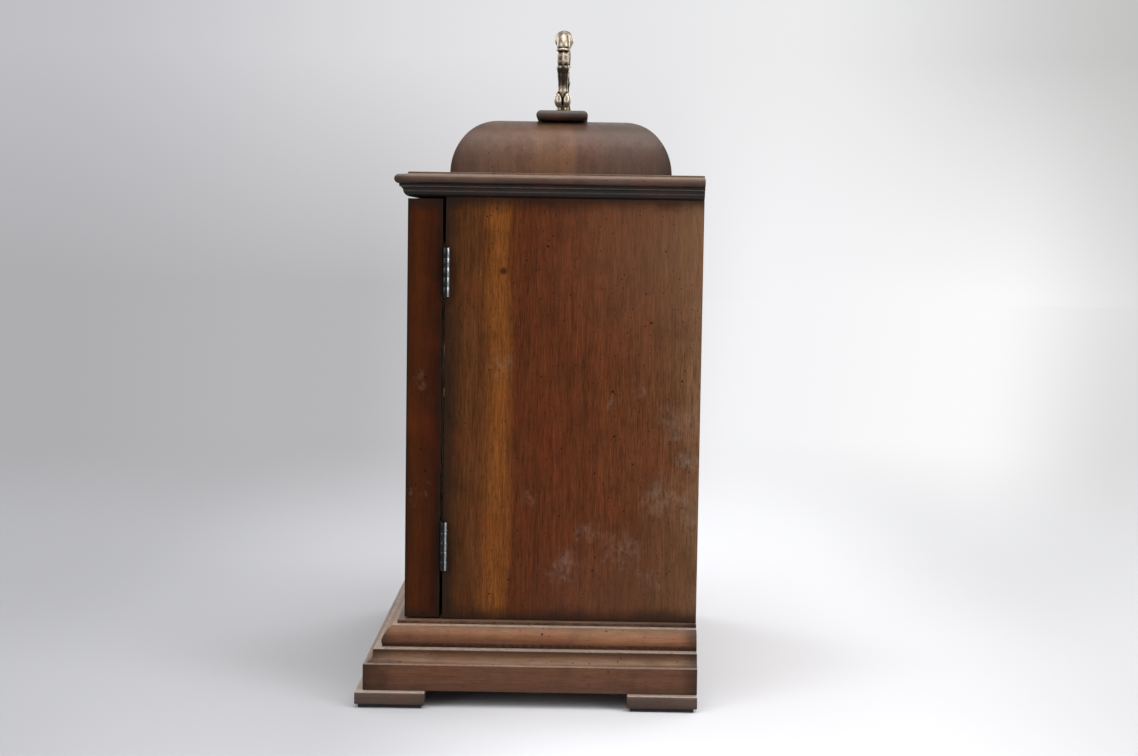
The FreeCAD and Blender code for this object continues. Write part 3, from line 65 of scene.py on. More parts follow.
# %% Camera at the photograph's angle
CAMERA_AT = Vector((1.0941, 0.0234, 0.2478))
YAW, PITCH, ROLL = -0.0036478, 0.0777001, 0.0153937
FOCAL_PX, PHOTO_WIDTH_PX, SENSOR_MM = 1900.0, 1138.0, 36.0
flat_way = Vector((-math.cos(YAW), math.sin(YAW), 0))
flat_right = Vector((math.sin(YAW), math.cos(YAW), 0))
way = flat_way * math.cos(PITCH) - Vector((0, 0, 1)) * math.sin(PITCH)
over = Vector((0, 0, 1)) * math.cos(PITCH) + flat_way * math.sin(PITCH)
right = flat_right * math.cos(ROLL) + over * math.sin(ROLL)
over = over * math.cos(ROLL) - flat_right * math.sin(ROLL)
camera_data = bpy.data.cameras.new("photo_camera")
camera_data.sensor_width = SENSOR_MM
camera_data.lens = FOCAL_PX / PHOTO_WIDTH_PX * SENSOR_MM
camera_data.clip_start = 0.01
camera = bpy.data.objects.new("photo_camera", camera_data)
turn = Matrix((right, over, -way)).transposed()
camera.matrix_world = Matrix.Translation(CAMERA_AT) @ turn.to_4x4()
bpy.context.scene.collection.objects.link(camera)
bpy.context.scene.camera = camera
print("lens mm:", round(camera_data.lens, 1))

# %% [markdown]
# ## Small helpers
# Colours are written as they look on a screen, in hex, and one function turns them to the linear
# values that a shader needs. One function adds any node with its settings and links. All patterns
# are measured in millimetres from the clock's own origin, so a grain width is a real width.

# %% Colour and node helpers
def linear(code):
    values = [int(code[i:i + 2], 16) / 255 for i in (1, 3, 5)]
    return [v / 12.92 if v <= 0.04045 else ((v + 0.055) / 1.055) ** 2.4 for v in values] + [1.0]


def add(tree, kind, inputs=None, stops=(), **settings):
    # kind may leave out "ShaderNode"; inputs maps a socket's name or number to a value, a socket or a
    # node (its first live output), or lists them in order; stops are a colour ramp's (place, hex)
    node = tree.nodes.new(kind if "Node" in kind else "ShaderNode" + kind)
    for key, value in settings.items():
        setattr(node, key, value)
    if isinstance(inputs, list):
        inputs = dict(enumerate(inputs))
    for key, value in (inputs or {}).items():
        if isinstance(value, bpy.types.Node):
            value = next(out for out in value.outputs if out.enabled)
        if isinstance(value, bpy.types.NodeSocket):
            tree.links.new(value, node.inputs[key])
        else:
            node.inputs[key].default_value = value
    if stops:
        band = node.color_ramp.elements
        while len(band) < len(stops):
            band.new(0.5)
        for item, (place, code) in zip(band, stops):
            item.position = place
            item.color = linear(code)
    return node


def new_material(name):
    made = bpy.data.materials.new(name)
    made.use_nodes = True
    made.node_tree.nodes.clear()
    return made, made.node_tree


def finish_material(tree, **surface):
    # the shader's sockets are given by name, with _ for a space
    sockets = {key.replace("_", " "): value for key, value in surface.items()}
    add(tree, "OutputMaterial", {"Surface": add(tree, "BsdfPrincipled", sockets)})


print("helpers ready")

# %% [markdown]
# ## Stained wood
# The case is walnut-coloured hardwood: stained, darker towards the edges (as painted shade under the
# crown), flicked with dark specks and sprayed with a satin lacquer. The eye sees four scales at once:
# fine fibres about half a millimetre wide, broad bands of tone, a soft drift of colour from one side of
# a board to the other, and small marks. A photograph could hold all this, but a formula stays sharp at
# any distance and has no edges, so each scale is a noise of its own, stretched along the grain.

# %% Wood finish
AXES = {"X": 0, "Y": 1, "Z": 2}
NEAR_BLACK = "#1b110c"       # near black: toner in pores and specks, and painted shade in the corners and gaps between members
DUST_BLOOM_AND_SHEEN = "#b3a393"        # pale tone of dust and lacquer bloom, also laid on as painted highlight along ledges and up-facing faces


class Painter:
    """Holds one node tree and the place on the piece in millimetres."""

    def __init__(self, tree):
        self.tree = tree
        place = add(tree, "TexCoord").outputs["Object"]
        self.mm = add(tree, "VectorMath", [place, (1000, 1000, 1000)], operation="MULTIPLY")
        self.split = add(tree, "SeparateXYZ", [self.mm]).outputs

    def cloud(self, size, detail=3.0, roughness=0.6, grain=None, along=None):
        # size is the real width of a patch in mm; grain stretches it to along mm
        scale = [1 / size] * 3
        if grain:
            scale[AXES[grain]] = 1 / along
        scaled = add(self.tree, "VectorMath", [self.mm, scale], operation="MULTIPLY")
        return add(self.tree, "TexNoise", {"Vector": scaled, "Scale": 1.0, "Detail": detail,
                                           "Roughness": roughness})

    def wander(self, span, *pattern, **stretch):
        # a cloud that shifts a border by up to half of span to either side
        noise = self.cloud(*pattern, **stretch)
        return add(self.tree, "Math", [noise, span, -span / 2], operation="MULTIPLY_ADD")

    def away(self, spot):
        return add(self.tree, "VectorMath", [self.mm, spot], operation="DISTANCE")

    def tint(self, colour, share, code):
        # lays one tone over a colour by a share from 0 to 1
        return add(self.tree, "Mix", {0: share, 6: colour, 7: linear(code)}, data_type="RGBA")


def wood_bands(paint, grain, drift_axis, drift):
    # colour drifts across the board; the borders of each stripe waver along the grain
    first, last = drift[0][0], drift[-1][0]
    waver = paint.wander(9.0, 30, 2, grain=grain, along=130)
    across = add(paint.tree, "Math", [paint.split[AXES[drift_axis]], waver], operation="ADD")
    share = add(paint.tree, "MapRange", [across, first, last])
    stops = [((at - first) / (last - first), code) for at, code in drift]
    return add(paint.tree, "ValToRGB", [share], stops)


def wood_fibres(paint, colour, grain, strength):
    # broad bands, fine fibres about 0.75 mm wide and short dark pores
    tree = paint.tree
    broad = add(tree, "MapRange", [paint.cloud(5, 3, grain=grain, along=120), 0.3, 0.7, 1.16, 0.84])
    fibres = paint.cloud(0.75, 4, 0.75, grain=grain, along=13)
    fine = add(tree, "MapRange", [fibres, 0.25, 0.75, 1 - 0.6 * strength, 1 + 0.6 * strength])
    level = add(tree, "Math", [broad, fine], operation="MULTIPLY")
    grey = add(tree, "CombineColor", [level, level, level])
    colour = add(tree, "Mix", {0: 1.0, 6: colour, 7: grey}, data_type="RGBA", blend_type="MULTIPLY")
    pores = paint.cloud(0.4, 2, 0.5, grain=grain, along=5)
    pores = add(tree, "MapRange", [pores, 0.6, 0.7, 0.0, 0.8 * strength])
    return paint.tint(colour, pores, NEAR_BLACK), fibres


def wood_blush(paint, colour):
    # stain that took unevenly: redder and darker clouds a few centimetres wide
    for size, detail, high, most, code in ((26, 3, 0.7, 0.2, "#6b2a12"), (17, 4, 0.72, 0.34, "#2c170d")):
        share = add(paint.tree, "MapRange", [paint.cloud(size, detail), 0.5, high, 0.0, most])
        colour = paint.tint(colour, share, code)
    return colour


def wood_veils(paint, colour, veils):
    # soft round patches of another tone: (middle in mm, inner radius, outer radius, strength, colour)
    for spot, inner, outer, strength, code in veils:
        share = add(paint.tree, "MapRange", [paint.away(spot), outer, inner, 0.0, strength],
                    interpolation_type="SMOOTHSTEP")
        colour = paint.tint(colour, share, code)
    return colour


def wood_edge_darkening(paint, colour, edges, strength):
    # darker towards the edges, as painted shade where an edge lies under the crown: (axis, low or None, high or
    # None, width in mm)
    tree, wander = paint.tree, paint.wander(1.3, 14, 4)
    for axis, low, high, width in edges:
        for sign, edge in ((1, low), (-1, high)):
            if edge is not None:
                gap = add(tree, "Math", [paint.split[AXES[axis]], sign / width, -sign * edge / width],
                          operation="MULTIPLY_ADD")
                gap = add(tree, "Math", [gap, wander], operation="ADD")
                shade = add(tree, "MapRange", [gap, 1.1, 0.0, 0.0, strength], interpolation_type="SMOOTHSTEP")
                colour = paint.tint(colour, shade, "#231913")
    return colour


def wood_shade_and_highlight_lines(paint, colour, lines):
    # thin lines where members meet, dark ones of painted shade in the corners and pale ones of dust and painted
    # highlight on ledges and arrises: (place, half width, strength, colour, axis if not Z)
    tree = paint.tree
    broken = add(tree, "MapRange", [paint.cloud(2.2, 4), 0.3, 0.6, 0.45, 1.0])
    for at, half, strength, code, *axis in lines:
        gap = add(tree, "Math", [paint.split[AXES[axis[0] if axis else "Z"]], at], operation="SUBTRACT")
        gap = add(tree, "Math", [gap], operation="ABSOLUTE")
        line = add(tree, "MapRange", [gap, half, half * 0.35, 0.0, strength])
        line = add(tree, "Math", [line, broken], operation="MULTIPLY")
        colour = paint.tint(colour, line, code)
    return colour


def wood_specks(paint, colour, amount):
    # toner flicked from a brush: small irregular dots in loose crowds
    tree = paint.tree
    warp = add(tree, "TexNoise", {"Vector": paint.mm, "Scale": 1.2, "Detail": 2.0}).outputs["Color"]
    bent = add(tree, "VectorMath", [warp, (1.0, 1.0, 1.0), paint.mm], operation="MULTIPLY_ADD")
    crowd = paint.cloud(24, 2)
    for cell, radius, needed in ((3.0, 0.33, 1.08), (5.0, 0.46, 1.12), (9.0, 0.62, 1.18)):
        cells = add(tree, "TexVoronoi", {"Vector": bent, "Scale": 1 / cell, "Randomness": 1.0}).outputs
        chance = add(tree, "SeparateColor", [cells["Color"]]).outputs
        size = add(tree, "Math", [chance[1], 0.7 * radius, 0.5 * radius], operation="MULTIPLY_ADD")
        gap = add(tree, "Math", [cells["Distance"], cell], operation="MULTIPLY")
        gap = add(tree, "Math", [gap, size], operation="SUBTRACT")
        dot = add(tree, "MapRange", [gap, 0.1, -0.1, 0.0, 0.9])
        kept = add(tree, "Math", [crowd, chance[0]], operation="ADD")
        kept = add(tree, "Math", [kept, needed - 0.25 * amount], operation="GREATER_THAN")
        share = add(tree, "Math", [dot, kept], operation="MULTIPLY")
        colour = paint.tint(colour, share, NEAR_BLACK)
    return colour


def wood_blooms(paint, colour, blooms):
    # pale bloom in old lacquer: (middle in mm, radius, strength), broken up by a streaky cloud
    tree = paint.tree
    streaks = add(tree, "MapRange", [paint.cloud(3.4, 8, 0.72, grain="Z", along=5), 0.4, 0.78])
    torn = paint.wander(40.0, 11, 5, 0.7)
    haze = 0.0
    for spot, radius, strength in blooms:
        gap = add(tree, "Math", [paint.away(spot), torn], operation="ADD")
        here = add(tree, "MapRange", [gap, radius, 0, 0.0, 0.62 * strength], interpolation_type="SMOOTHSTEP")
        haze = add(tree, "Math", [here, haze], operation="MAXIMUM")
    haze = add(tree, "Math", [haze, streaks], operation="MULTIPLY")
    return paint.tint(colour, haze, DUST_BLOOM_AND_SHEEN), haze


def wood_dust_and_sheen(paint, colour, amount):
    # dust lies where the surface faces up, and the up-facing faces are also lightened as a painted highlight
    tree = paint.tree
    up = add(tree, "SeparateXYZ", [add(tree, "NewGeometry").outputs["Normal"]]).outputs[2]
    lying = add(tree, "MapRange", [up, 0.5, 1.0, 0.0, amount])
    grit = add(tree, "MapRange", [paint.cloud(2.4, 5, 0.7), 0.25, 0.7, 0.3, 1.0])
    lying = add(tree, "Math", [lying, grit], operation="MULTIPLY")
    return paint.tint(colour, lying, DUST_BLOOM_AND_SHEEN)


def stained_wood(name, grain, drift_axis, drift, fibre=0.6, edges=(), edge_tone=0.7, lines=(), specks=0.0,
                 blooms=(), veils=(), dust_and_sheen=0.0, rough=0.42, specular=0.15):
    made, tree = new_material(name)
    paint = Painter(tree)
    colour = wood_bands(paint, grain, drift_axis, drift)
    colour, fibres = wood_fibres(paint, colour, grain, fibre)
    colour = wood_veils(paint, wood_blush(paint, colour), veils)
    colour = wood_edge_darkening(paint, colour, edges, edge_tone)
    colour = wood_shade_and_highlight_lines(paint, colour, lines) if lines else colour
    colour = wood_specks(paint, colour, specks) if specks else colour
    shine = paint.cloud(3.0, 3, grain=grain, along=30)
    shine = add(tree, "MapRange", [shine, 0.3, 0.7, rough - 0.06, rough + 0.07])
    if blooms:
        colour, haze = wood_blooms(paint, colour, blooms)
        shine = add(tree, "Math", [haze, 0.2, shine], operation="MULTIPLY_ADD")
    colour = wood_dust_and_sheen(paint, colour, dust_and_sheen) if dust_and_sheen else colour
    relief = add(tree, "Bump", {"Strength": 0.4, "Distance": 0.00008, "Height": fibres})
    finish_material(tree, Base_Color=colour, Roughness=shine, Normal=relief, IOR=1.5,
                    Specular_IOR_Level=specular)
    return made


print("wood recipe ready")

# %% [markdown]
# ### The boards of this clock
# The side panel runs from an olive brown at its front edge through a golden streak to red-brown, and
# ends in a greyer brown at the back. The door edge is a deep mahogany red. The crown's lower members
# are painted almost black as shade under a lit bullnose, the bell is a lighter brown with a sheen, and
# the base is a mid brown with painted shade in the corners between its members and pale lines of dust
# and painted highlight along its ledges. Marks that stand out, such as a small knot and the pale
# blooms low on the right, are placed by their real position.

# %% Where the members of the mouldings meet
base_low, base_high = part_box("base_moulding_returns")
crown_low, crown_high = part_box("crown_moulding_returns")
CASE_FOOT = base_high.z / MM
CROWN_FOOT, CROWN_TOP = crown_low.z / MM, crown_high.z / MM
FRONT_Y, BACK_Y = base_low.y / MM, base_high.y / MM
# dark lines: painted shade in the corners between members; pale lines: dust and painted highlight along the
# ledges
base_shade_and_highlight_lines = [
    (CASE_FOOT - 1.3, 1.3, 0.85, NEAR_BLACK), (CASE_FOOT - 2.2, 0.35, 0.75, DUST_BLOOM_AND_SHEEN),
    (CASE_FOOT - 11.6, 1.6, 0.8, NEAR_BLACK), (CASE_FOOT - 13.1, 0.35, 0.75, DUST_BLOOM_AND_SHEEN),
    (CASE_FOOT - 14.2, 0.9, 0.35, NEAR_BLACK), (CASE_FOOT - 20.2, 0.35, 0.4, DUST_BLOOM_AND_SHEEN)]
# dark lines: painted shadow under the bullnose and at the crown's foot; pale lines: painted highlights on the
# arrises
crown_shadow_and_highlight_lines = [
    (CROWN_TOP - 6.6, 0.7, 0.9, "#0c0908"), (CROWN_TOP - 7.7, 0.3, 0.5, "#7c7068"),
    (CROWN_TOP - 9.9, 0.35, 0.4, "#6b625c"), (CROWN_FOOT + 0.4, 0.7, 0.8, "#0c0908")]
print("case stands on z", round(CASE_FOOT, 1), "mm; crown from", round(CROWN_FOOT, 1), "mm")

# %% Wood finishes by piece
SIDE_X = 106.0
side_blooms = [((SIDE_X, y, z), radius, strength) for y, z, radius, strength in (
    (-15, 177, 6, 0.32), (44, 158, 5, 0.35), (54, 169, 7, 0.22), (77, 149, 14, 0.3), (81, 127, 8, 0.55),
    (72, 107, 17, 0.42), (0, 107, 5, 0.4), (47, 80, 15, 0.42), (19, 70, 12, 0.4), (33, 88, 8, 0.25),
    (84, 96, 10, 0.35), (62, 66, 9, 0.2))]
side_veils = [
    ((SIDE_X, 96, 255), 5, 110, 0.34, "#7c5d47"), ((SIDE_X, 40, 40), 6, 60, 0.3, "#543d31"),
    ((SIDE_X, 100, 60), 6, 70, 0.3, "#5c432f"), ((SIDE_X, -15, 226), 0.6, 2.8, 0.8, "#1c0e07")]
# the side is darker at its foot and front edge, and under the crown, where the dark is painted shade; the pale
# line at its front edge is a painted highlight
side_walnut = stained_wood(
    "satin_walnut_side", "Z", "Y",
    [(-46, "#38210f"), (-36, "#4a2b14"), (-27, "#563117"), (-21, "#6c3e19"), (-13, "#6d3f1a"), (-9, "#522a14"),
     (10, "#532a15"), (35, "#5a3019"), (60, "#59331d"), (80, "#603f28"), (89, "#6e4f38")],
    fibre=1.0, edges=[("Z", 43, 264, 8), ("Y", -46, None, 9)], edge_tone=0.78, specks=1.0, blooms=side_blooms,
    veils=side_veils, rough=0.4, specular=0.05, lines=[(-46.6, 0.5, 0.6, "#70625b", "Y")])
# the door is darker along its edges and at its foot, and under the crown, where the dark is painted shade
door_walnut = stained_wood(
    "satin_mahogany_door", "Z", "Y", [(-66, "#33190a"), (-61, "#421f09"), (-54, "#3b1a09"), (-46, "#1f0f07")],
    fibre=0.5, edges=[("Z", 43, 263, 8), ("Y", -65.5, -46.5, 2.4)], edge_tone=0.8, specks=0.5,
    blooms=[((SIDE_X, -58, 170), 5, 0.25), ((SIDE_X, -60, 108), 4, 0.25)], rough=0.36, specular=0.05)
# near black low down and brown at the bullnose: the dark of the lower members is painted shade under the
# bullnose
crown_shade_drift = [(CROWN_FOOT - 2, "#151110"), (CROWN_TOP - 6, "#1d1816"), (CROWN_TOP - 4.5, "#453329"),
               (CROWN_TOP, "#624a3b")]
crown_front_walnut = stained_wood(
    "dark_walnut_crown_front", "X", "Z", crown_shade_drift, fibre=0.4, lines=crown_shadow_and_highlight_lines, dust_and_sheen=0.35, specular=0.22,
    edges=[("X", -129, 129, 16)], specks=0.4)
crown_side_walnut = stained_wood(
    "dark_walnut_crown_side", "Y", "Z", crown_shade_drift, fibre=0.4, lines=crown_shadow_and_highlight_lines, dust_and_sheen=0.35, specular=0.22,
    edges=[("Y", FRONT_Y, None, 30)], specks=0.4)
bell_side_walnut = stained_wood(
    "satin_walnut_bell_side", "Z", "Y",
    [(-46, "#46332c"), (-36, "#574034"), (-10, "#624533"), (14, "#6d4d36"), (20, "#684a36"), (23, "#5a4034"),
     (50, "#564238"), (73, "#4d3d34")],
    fibre=0.4, edges=[("Y", -46, 74, 12), ("Z", None, 306, 9)], edge_tone=0.5, specks=0.5, dust_and_sheen=0.06,
    rough=0.38, specular=0.2, blooms=[((84, 56, 297), 1.6, 1.0)])
bell_front_walnut = stained_wood(
    "satin_walnut_bell_front", "Z", "X", [(-84, "#523c31"), (-10, "#684a36"), (12, "#5c4033"), (84, "#4f3c32")],
    fibre=0.4, edges=[("X", -85, 85, 12)], edge_tone=0.5, specks=0.5, dust_and_sheen=0.06, rough=0.38, specular=0.2)
# the drift dips darker where the members meet, at the ovolo's foot and the cove's top: painted shade
base_drift = [(8, "#50362a"), (14, "#5c3c2b"), (22, "#5f3f2d"), (23, "#7c5f4b"), (25.5, "#6f543f"),
              (27, "#573c2a"), (29.5, "#4a3022"), (30, "#5d3e2c"),
              (33, "#643f2b"), (36, "#7a5238"), (40, "#7d5a42"), (43, "#5a4537")]
base_front_walnut = stained_wood(
    "satin_walnut_base_front", "X", "Z", base_drift, fibre=0.45, lines=base_shade_and_highlight_lines, specks=0.7, dust_and_sheen=0.1,
    edges=[("X", -130, 130, 18)], edge_tone=0.68, rough=0.4, specular=0.14)
base_side_walnut = stained_wood(
    "satin_walnut_base_side", "Y", "Z", base_drift, fibre=0.45, lines=base_shade_and_highlight_lines, specks=0.7, dust_and_sheen=0.1,
    edges=[("Y", FRONT_Y, None, 22), ("Y", None, BACK_Y, 8)], edge_tone=0.68, rough=0.4, specular=0.14)
foot_walnut = stained_wood(
    "satin_walnut_feet", "Y", "Z", [(2, "#3f322b"), (7, "#54433a"), (9, "#75645a")],
    fibre=0.35, dust_and_sheen=0.6, rough=0.46, specular=0.25, lines=[(8.4, 0.3, 0.8, DUST_BLOOM_AND_SHEEN)])
plinth_walnut = stained_wood(
    "dark_walnut_plinth", "X", "Z", [(306, "#1c1815"), (308.5, "#37312b"), (312, "#403932")],
    fibre=0.5, dust_and_sheen=0.15, rough=0.44, specular=0.3)
top_walnut = stained_wood(
    "dark_walnut_top_board", "X", "Y", [(-60, "#4b372b"), (89, "#4a382e")], fibre=0.4, dust_and_sheen=0.3, specular=0.3)
back_walnut = stained_wood(
    "plain_walnut_back", "Z", "X", [(-94, "#57371f"), (-30, "#6b4528"), (20, "#603c23"), (94, "#55351f")],
    fibre=0.8, edges=[("Z", 53, 263, 8)], edge_tone=0.4, specks=0.2, rough=0.5, specular=0.25)
raw_pine = stained_wood(
    "bare_pine_inside", "X", "Y", [(-90, "#a8825a"), (0, "#b48f63"), (90, "#a27c50")],
    fibre=0.35, rough=0.7, specular=0.25)
print("wood finishes:", len([m for m in bpy.data.materials if "walnut" in m.name or "pine" in m.name]))

# %% [markdown]
# ## Metals, glass and felt
# Aged brass is bright where hands rub it and brown in the hollows. Dull steel has fine scratches.
# The dial has polished gilt brass and a silvered ring. Each recipe keeps the default index of
# refraction of a metal and varies only colour, roughness and fine relief.

# %% Metal recipes
def off_axis(tree, place, middle):
    # distance from an axis that runs from front to back
    moved = add(tree, "VectorMath", [place, middle], operation="SUBTRACT")
    flat = add(tree, "VectorMath", [moved, (1, 0, 1)], operation="MULTIPLY")
    return add(tree, "VectorMath", [flat], operation="LENGTH")


def worn_metal(name, bright, dark, rough, patch_mm, contrast=0.6, scratch_mm=None, turned_about=None,
               bump=0.00003, painted_highlight_band=None):
    # patchy metal with grit, drawn scratches or turned rings; the last argument, if given, is (from y, to y,
    # share, colour) of a bright strip painted on as a highlight
    made, tree = new_material(name)
    paint = Painter(tree)
    patches = add(tree, "TexNoise", {"Vector": paint.mm, "Scale": 1 / patch_mm, "Detail": 6.0,
                                     "Roughness": 0.65})
    share = add(tree, "MapRange", [patches, 0.35, 0.68, 0.0, contrast])
    colour = add(tree, "ValToRGB", [share], [(0.0, bright), (1.0, dark)])
    if painted_highlight_band:
        start, end, most, code = painted_highlight_band
        highlight_share = add(tree, "MapRange", [paint.split[1], start, end, 0.0, most], interpolation_type="SMOOTHSTEP")
        colour = paint.tint(colour, highlight_share, code)
    if turned_about:
        radius = off_axis(tree, paint.mm, turned_about)
        grit = add(tree, "TexNoise", {"W": radius, "Scale": 1 / scratch_mm, "Detail": 3.0},
                   noise_dimensions="1D")
    elif scratch_mm:
        fine = 1 / scratch_mm
        drawn = add(tree, "VectorMath", [paint.mm, (fine, fine, 0.05)], operation="MULTIPLY")
        grit = add(tree, "TexNoise", {"Vector": drawn, "Scale": 1.0, "Detail": 3.0})
    else:
        grit = add(tree, "TexNoise", {"Vector": paint.mm, "Scale": 2.5, "Detail": 4.0})
    shine = add(tree, "MapRange", [patches, 0.3, 0.7, rough - 0.07, rough + 0.16])
    relief = add(tree, "Bump", {"Strength": 0.5, "Distance": bump, "Height": grit})
    finish_material(tree, Base_Color=colour, Metallic=1.0, Roughness=shine, Normal=relief)
    return made


dial_low, dial_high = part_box("dial_plate")
DIAL_Z = (dial_low.z + dial_high.z) / 2 / MM
aged_brass = worn_metal("aged_cast_brass", "#cfc3a4", "#5c4c30", 0.27, 3.0, 0.9)
post_brass = worn_metal("aged_brass_posts", "#8d7f63", "#3c3122", 0.32, 3.0, 0.8)
front_hinge = next(j for j in frame["record"]["behaviour"]["joints"] if j["name"] == "front_door_hinge")
HINGE_Y = front_hinge["pos_m"][1] / MM
# the bright strip along the knuckles' right side is a painted highlight, set by position
hinge_steel = worn_metal("dull_hinge_steel", "#333436", "#151516", 0.22, 9.0, 0.7, scratch_mm=0.2,
                         painted_highlight_band=(HINGE_Y + 0.55, HINGE_Y + 0.95, 0.85, "#9fa1a4"))
bright_steel = worn_metal("bright_clock_steel", "#b9bbbe", "#8a8c90", 0.25, 6.0, 0.5, scratch_mm=0.15)
clock_brass = worn_metal("lacquered_clock_brass", "#d9b56a", "#b58d45", 0.24, 18.0, 0.7, scratch_mm=0.2)
gilt_brass = worn_metal("gilt_cast_brass", "#e0b862", "#9c7431", 0.3, 2.5, 0.8)
silvered = worn_metal("silvered_brass_ring", "#dedcd3", "#bdb9ab", 0.36, 22.0, 0.7, 0.12,
                      (0, 0, DIAL_Z), bump=0.00002)
blued_steel = worn_metal("blued_steel_hands", "#26305c", "#141a36", 0.22, 8.0, 0.8)
WAIST_Z = 330.5         # height of the handle arms' waist, painted dark as shade on its downward-facing surface


def patinated_casting():
    # cast brass with a thin worn plate: bright where hands rub and dark brown in the hollows; the waist is
    # painted dark as shade
    made, tree = new_material("patinated_brass_casting")
    paint = Painter(tree)
    hollow = add(tree, "Attribute", attribute_name="hollow").outputs["Fac"]
    depth = add(tree, "Math", [hollow, paint.wander(0.3, 2.2, 5, 0.7)], operation="ADD")
    colour = add(tree, "ValToRGB", [depth],
                 [(0.3, "#aa9e8e"), (0.45, "#7d7161"), (0.54, "#463b2e"), (0.66, "#17120d")])
    waist_shade = add(tree, "Math", [paint.split[2], WAIST_Z], operation="SUBTRACT")
    waist_shade = add(tree, "Math", [waist_shade], operation="ABSOLUTE")
    waist_shade = add(tree, "Math", [waist_shade, paint.wander(6.0, 4, 3)], operation="ADD")
    waist_shade = add(tree, "MapRange", [waist_shade, 7.5, 4.0, 0.0, 0.92], interpolation_type="SMOOTHSTEP")
    colour = paint.tint(colour, waist_shade, "#1c150f")
    gold = add(tree, "MapRange", [paint.split[2], WAIST_Z + 24, WAIST_Z + 30, 0.0, 0.5],
               interpolation_type="SMOOTHSTEP")
    colour = paint.tint(colour, gold, "#7d6540")
    shine = add(tree, "MapRange", [depth, 0.4, 0.65, 0.3, 0.48])
    pits = add(tree, "Bump", {"Strength": 0.4, "Distance": 0.00006, "Height": paint.cloud(0.5, 3)})
    finish_material(tree, Base_Color=colour, Metallic=1.0, Roughness=shine, Normal=pits)
    return made


aged_casting = patinated_casting()
print("metals ready, dial centre at", round(DIAL_Z, 2), "mm")

# %% [markdown]
# The dial's middle is matted: struck all over with a tiny punch until it glitters evenly. The marks
# are about 0.75 mm apart, so a cell pattern of that size makes the relief, within the ring only.

# %% Matted brass, glass, felt, black wax
MATTED_RADIUS = 51.5 * MM
matted, tree = new_material("matted_gilt_brass")
place = add(tree, "TexCoord").outputs["Object"]
punched = add(tree, "TexVoronoi", {"Vector": place, "Scale": 1000 / 0.75})
from_centre = off_axis(tree, place, (0, 0, DIAL_Z * MM))
inside = add(tree, "Math", [from_centre, MATTED_RADIUS], operation="LESS_THAN")
dulled = add(tree, "MapRange", {"Value": inside, "To Min": 0.24, "To Max": 0.42})
punched = add(tree, "Math", [punched, inside], operation="MULTIPLY")
stained = add(tree, "TexNoise", {"Vector": place, "Scale": 1000 / 14, "Detail": 4.0})
tone = add(tree, "ValToRGB", [stained], [(0.35, "#d8b25c"), (0.7, "#b08a41")])
dents = add(tree, "Bump", {"Strength": 0.7, "Distance": 0.00012, "Height": punched})
finish_material(tree, Base_Color=tone, Metallic=1.0, Roughness=dulled, Normal=dents)

glass, tree = new_material("clear_window_glass")
finish_material(tree, Base_Color=linear("#f3f8f6"), Roughness=0.0, IOR=1.5, Transmission_Weight=1.0)

felt, tree = new_material("black_wool_felt")
place = add(tree, "TexCoord").outputs["Object"]
hairs = add(tree, "TexNoise", {"Vector": place, "Scale": 1000 / 0.5, "Detail": 5.0})
fluff = add(tree, "ValToRGB", [hairs], [(0.3, "#121110"), (0.7, "#2b2927")])
nap = add(tree, "Bump", {"Strength": 0.8, "Distance": 0.0003, "Height": hairs})
finish_material(tree, Base_Color=fluff, Roughness=0.95, Normal=nap, Sheen_Weight=0.3, Sheen_Roughness=0.5)

wax, tree = new_material("black_engraving_wax")
place = add(tree, "TexCoord").outputs["Object"]
dry = add(tree, "TexNoise", {"Vector": place, "Scale": 1000 / 1.5, "Detail": 3.0})
dry = add(tree, "ValToRGB", [dry], [(0.3, "#0d0c0c"), (0.7, "#211f1e")])
finish_material(tree, Base_Color=dry, Roughness=0.45)
print("materials:", len(bpy.data.materials))

# %% [markdown]
# ## Softened edges
# No real board has a razor edge: sandpaper and wear round it by about half a millimetre, and that
# round catches a thin line of light. Each wooden piece except the rear door's panel is therefore a copy
# of its solid with every sharp edge rounded. A bevel in the shader would look alike, but only real
# rounding is kept when the model leaves this program.

# %% Piece helpers
def link(name, mesh):
    made = bpy.data.objects.new(name, mesh)
    bpy.context.scene.collection.objects.link(made)
    return made


def built(name, work):
    # turns finished mesh work into a piece
    mesh = bpy.data.meshes.new(name)
    work.to_mesh(mesh)
    work.free()
    return link(name, mesh)


def dress(piece, finish, node, replaces=True):
    # gives a piece its finish, its body and its place in the table
    piece.data.materials.clear()
    piece.data.materials.append(finish)
    body = next(b for b, members in frame["record"]["behaviour"]["bodies"].items() if node in members)
    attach(piece, body)
    if replaces:
        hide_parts(node)


SHARP_DEG = 32          # a bend over this is an edge
SMALL_FACE = 2e-6       # square metres
LIKE_SIZED = 0.1        # least share of a face's area that counts as a like-sized neighbour


def settle(piece, sharp_deg=SHARP_DEG):
    # bakes the live modifiers into a plain mesh with smooth curved faces
    shown = piece.evaluated_get(bpy.context.evaluated_depsgraph_get())
    mesh = bpy.data.meshes.new_from_object(shown)
    piece.modifiers.clear()
    piece.data = mesh
    mesh.shade_smooth()
    mesh.set_sharp_from_angle(angle=math.radians(sharp_deg))


def flatten_boards(mesh):
    # a large flat face is shaded flat; it stays smooth where a face of like size curves away from it
    work = bmesh.new()
    work.from_mesh(mesh)
    for face in work.faces:
        curved = [e for e in face.edges
                  if math.radians(1) < e.calc_face_angle(0) < math.radians(SHARP_DEG)]
        beside = [f.calc_area() for e in curved for f in e.link_faces if f is not face]
        area = face.calc_area()
        face.smooth = area < SMALL_FACE or max(beside, default=0) > LIKE_SIZED * area
    work.to_mesh(mesh)
    work.free()


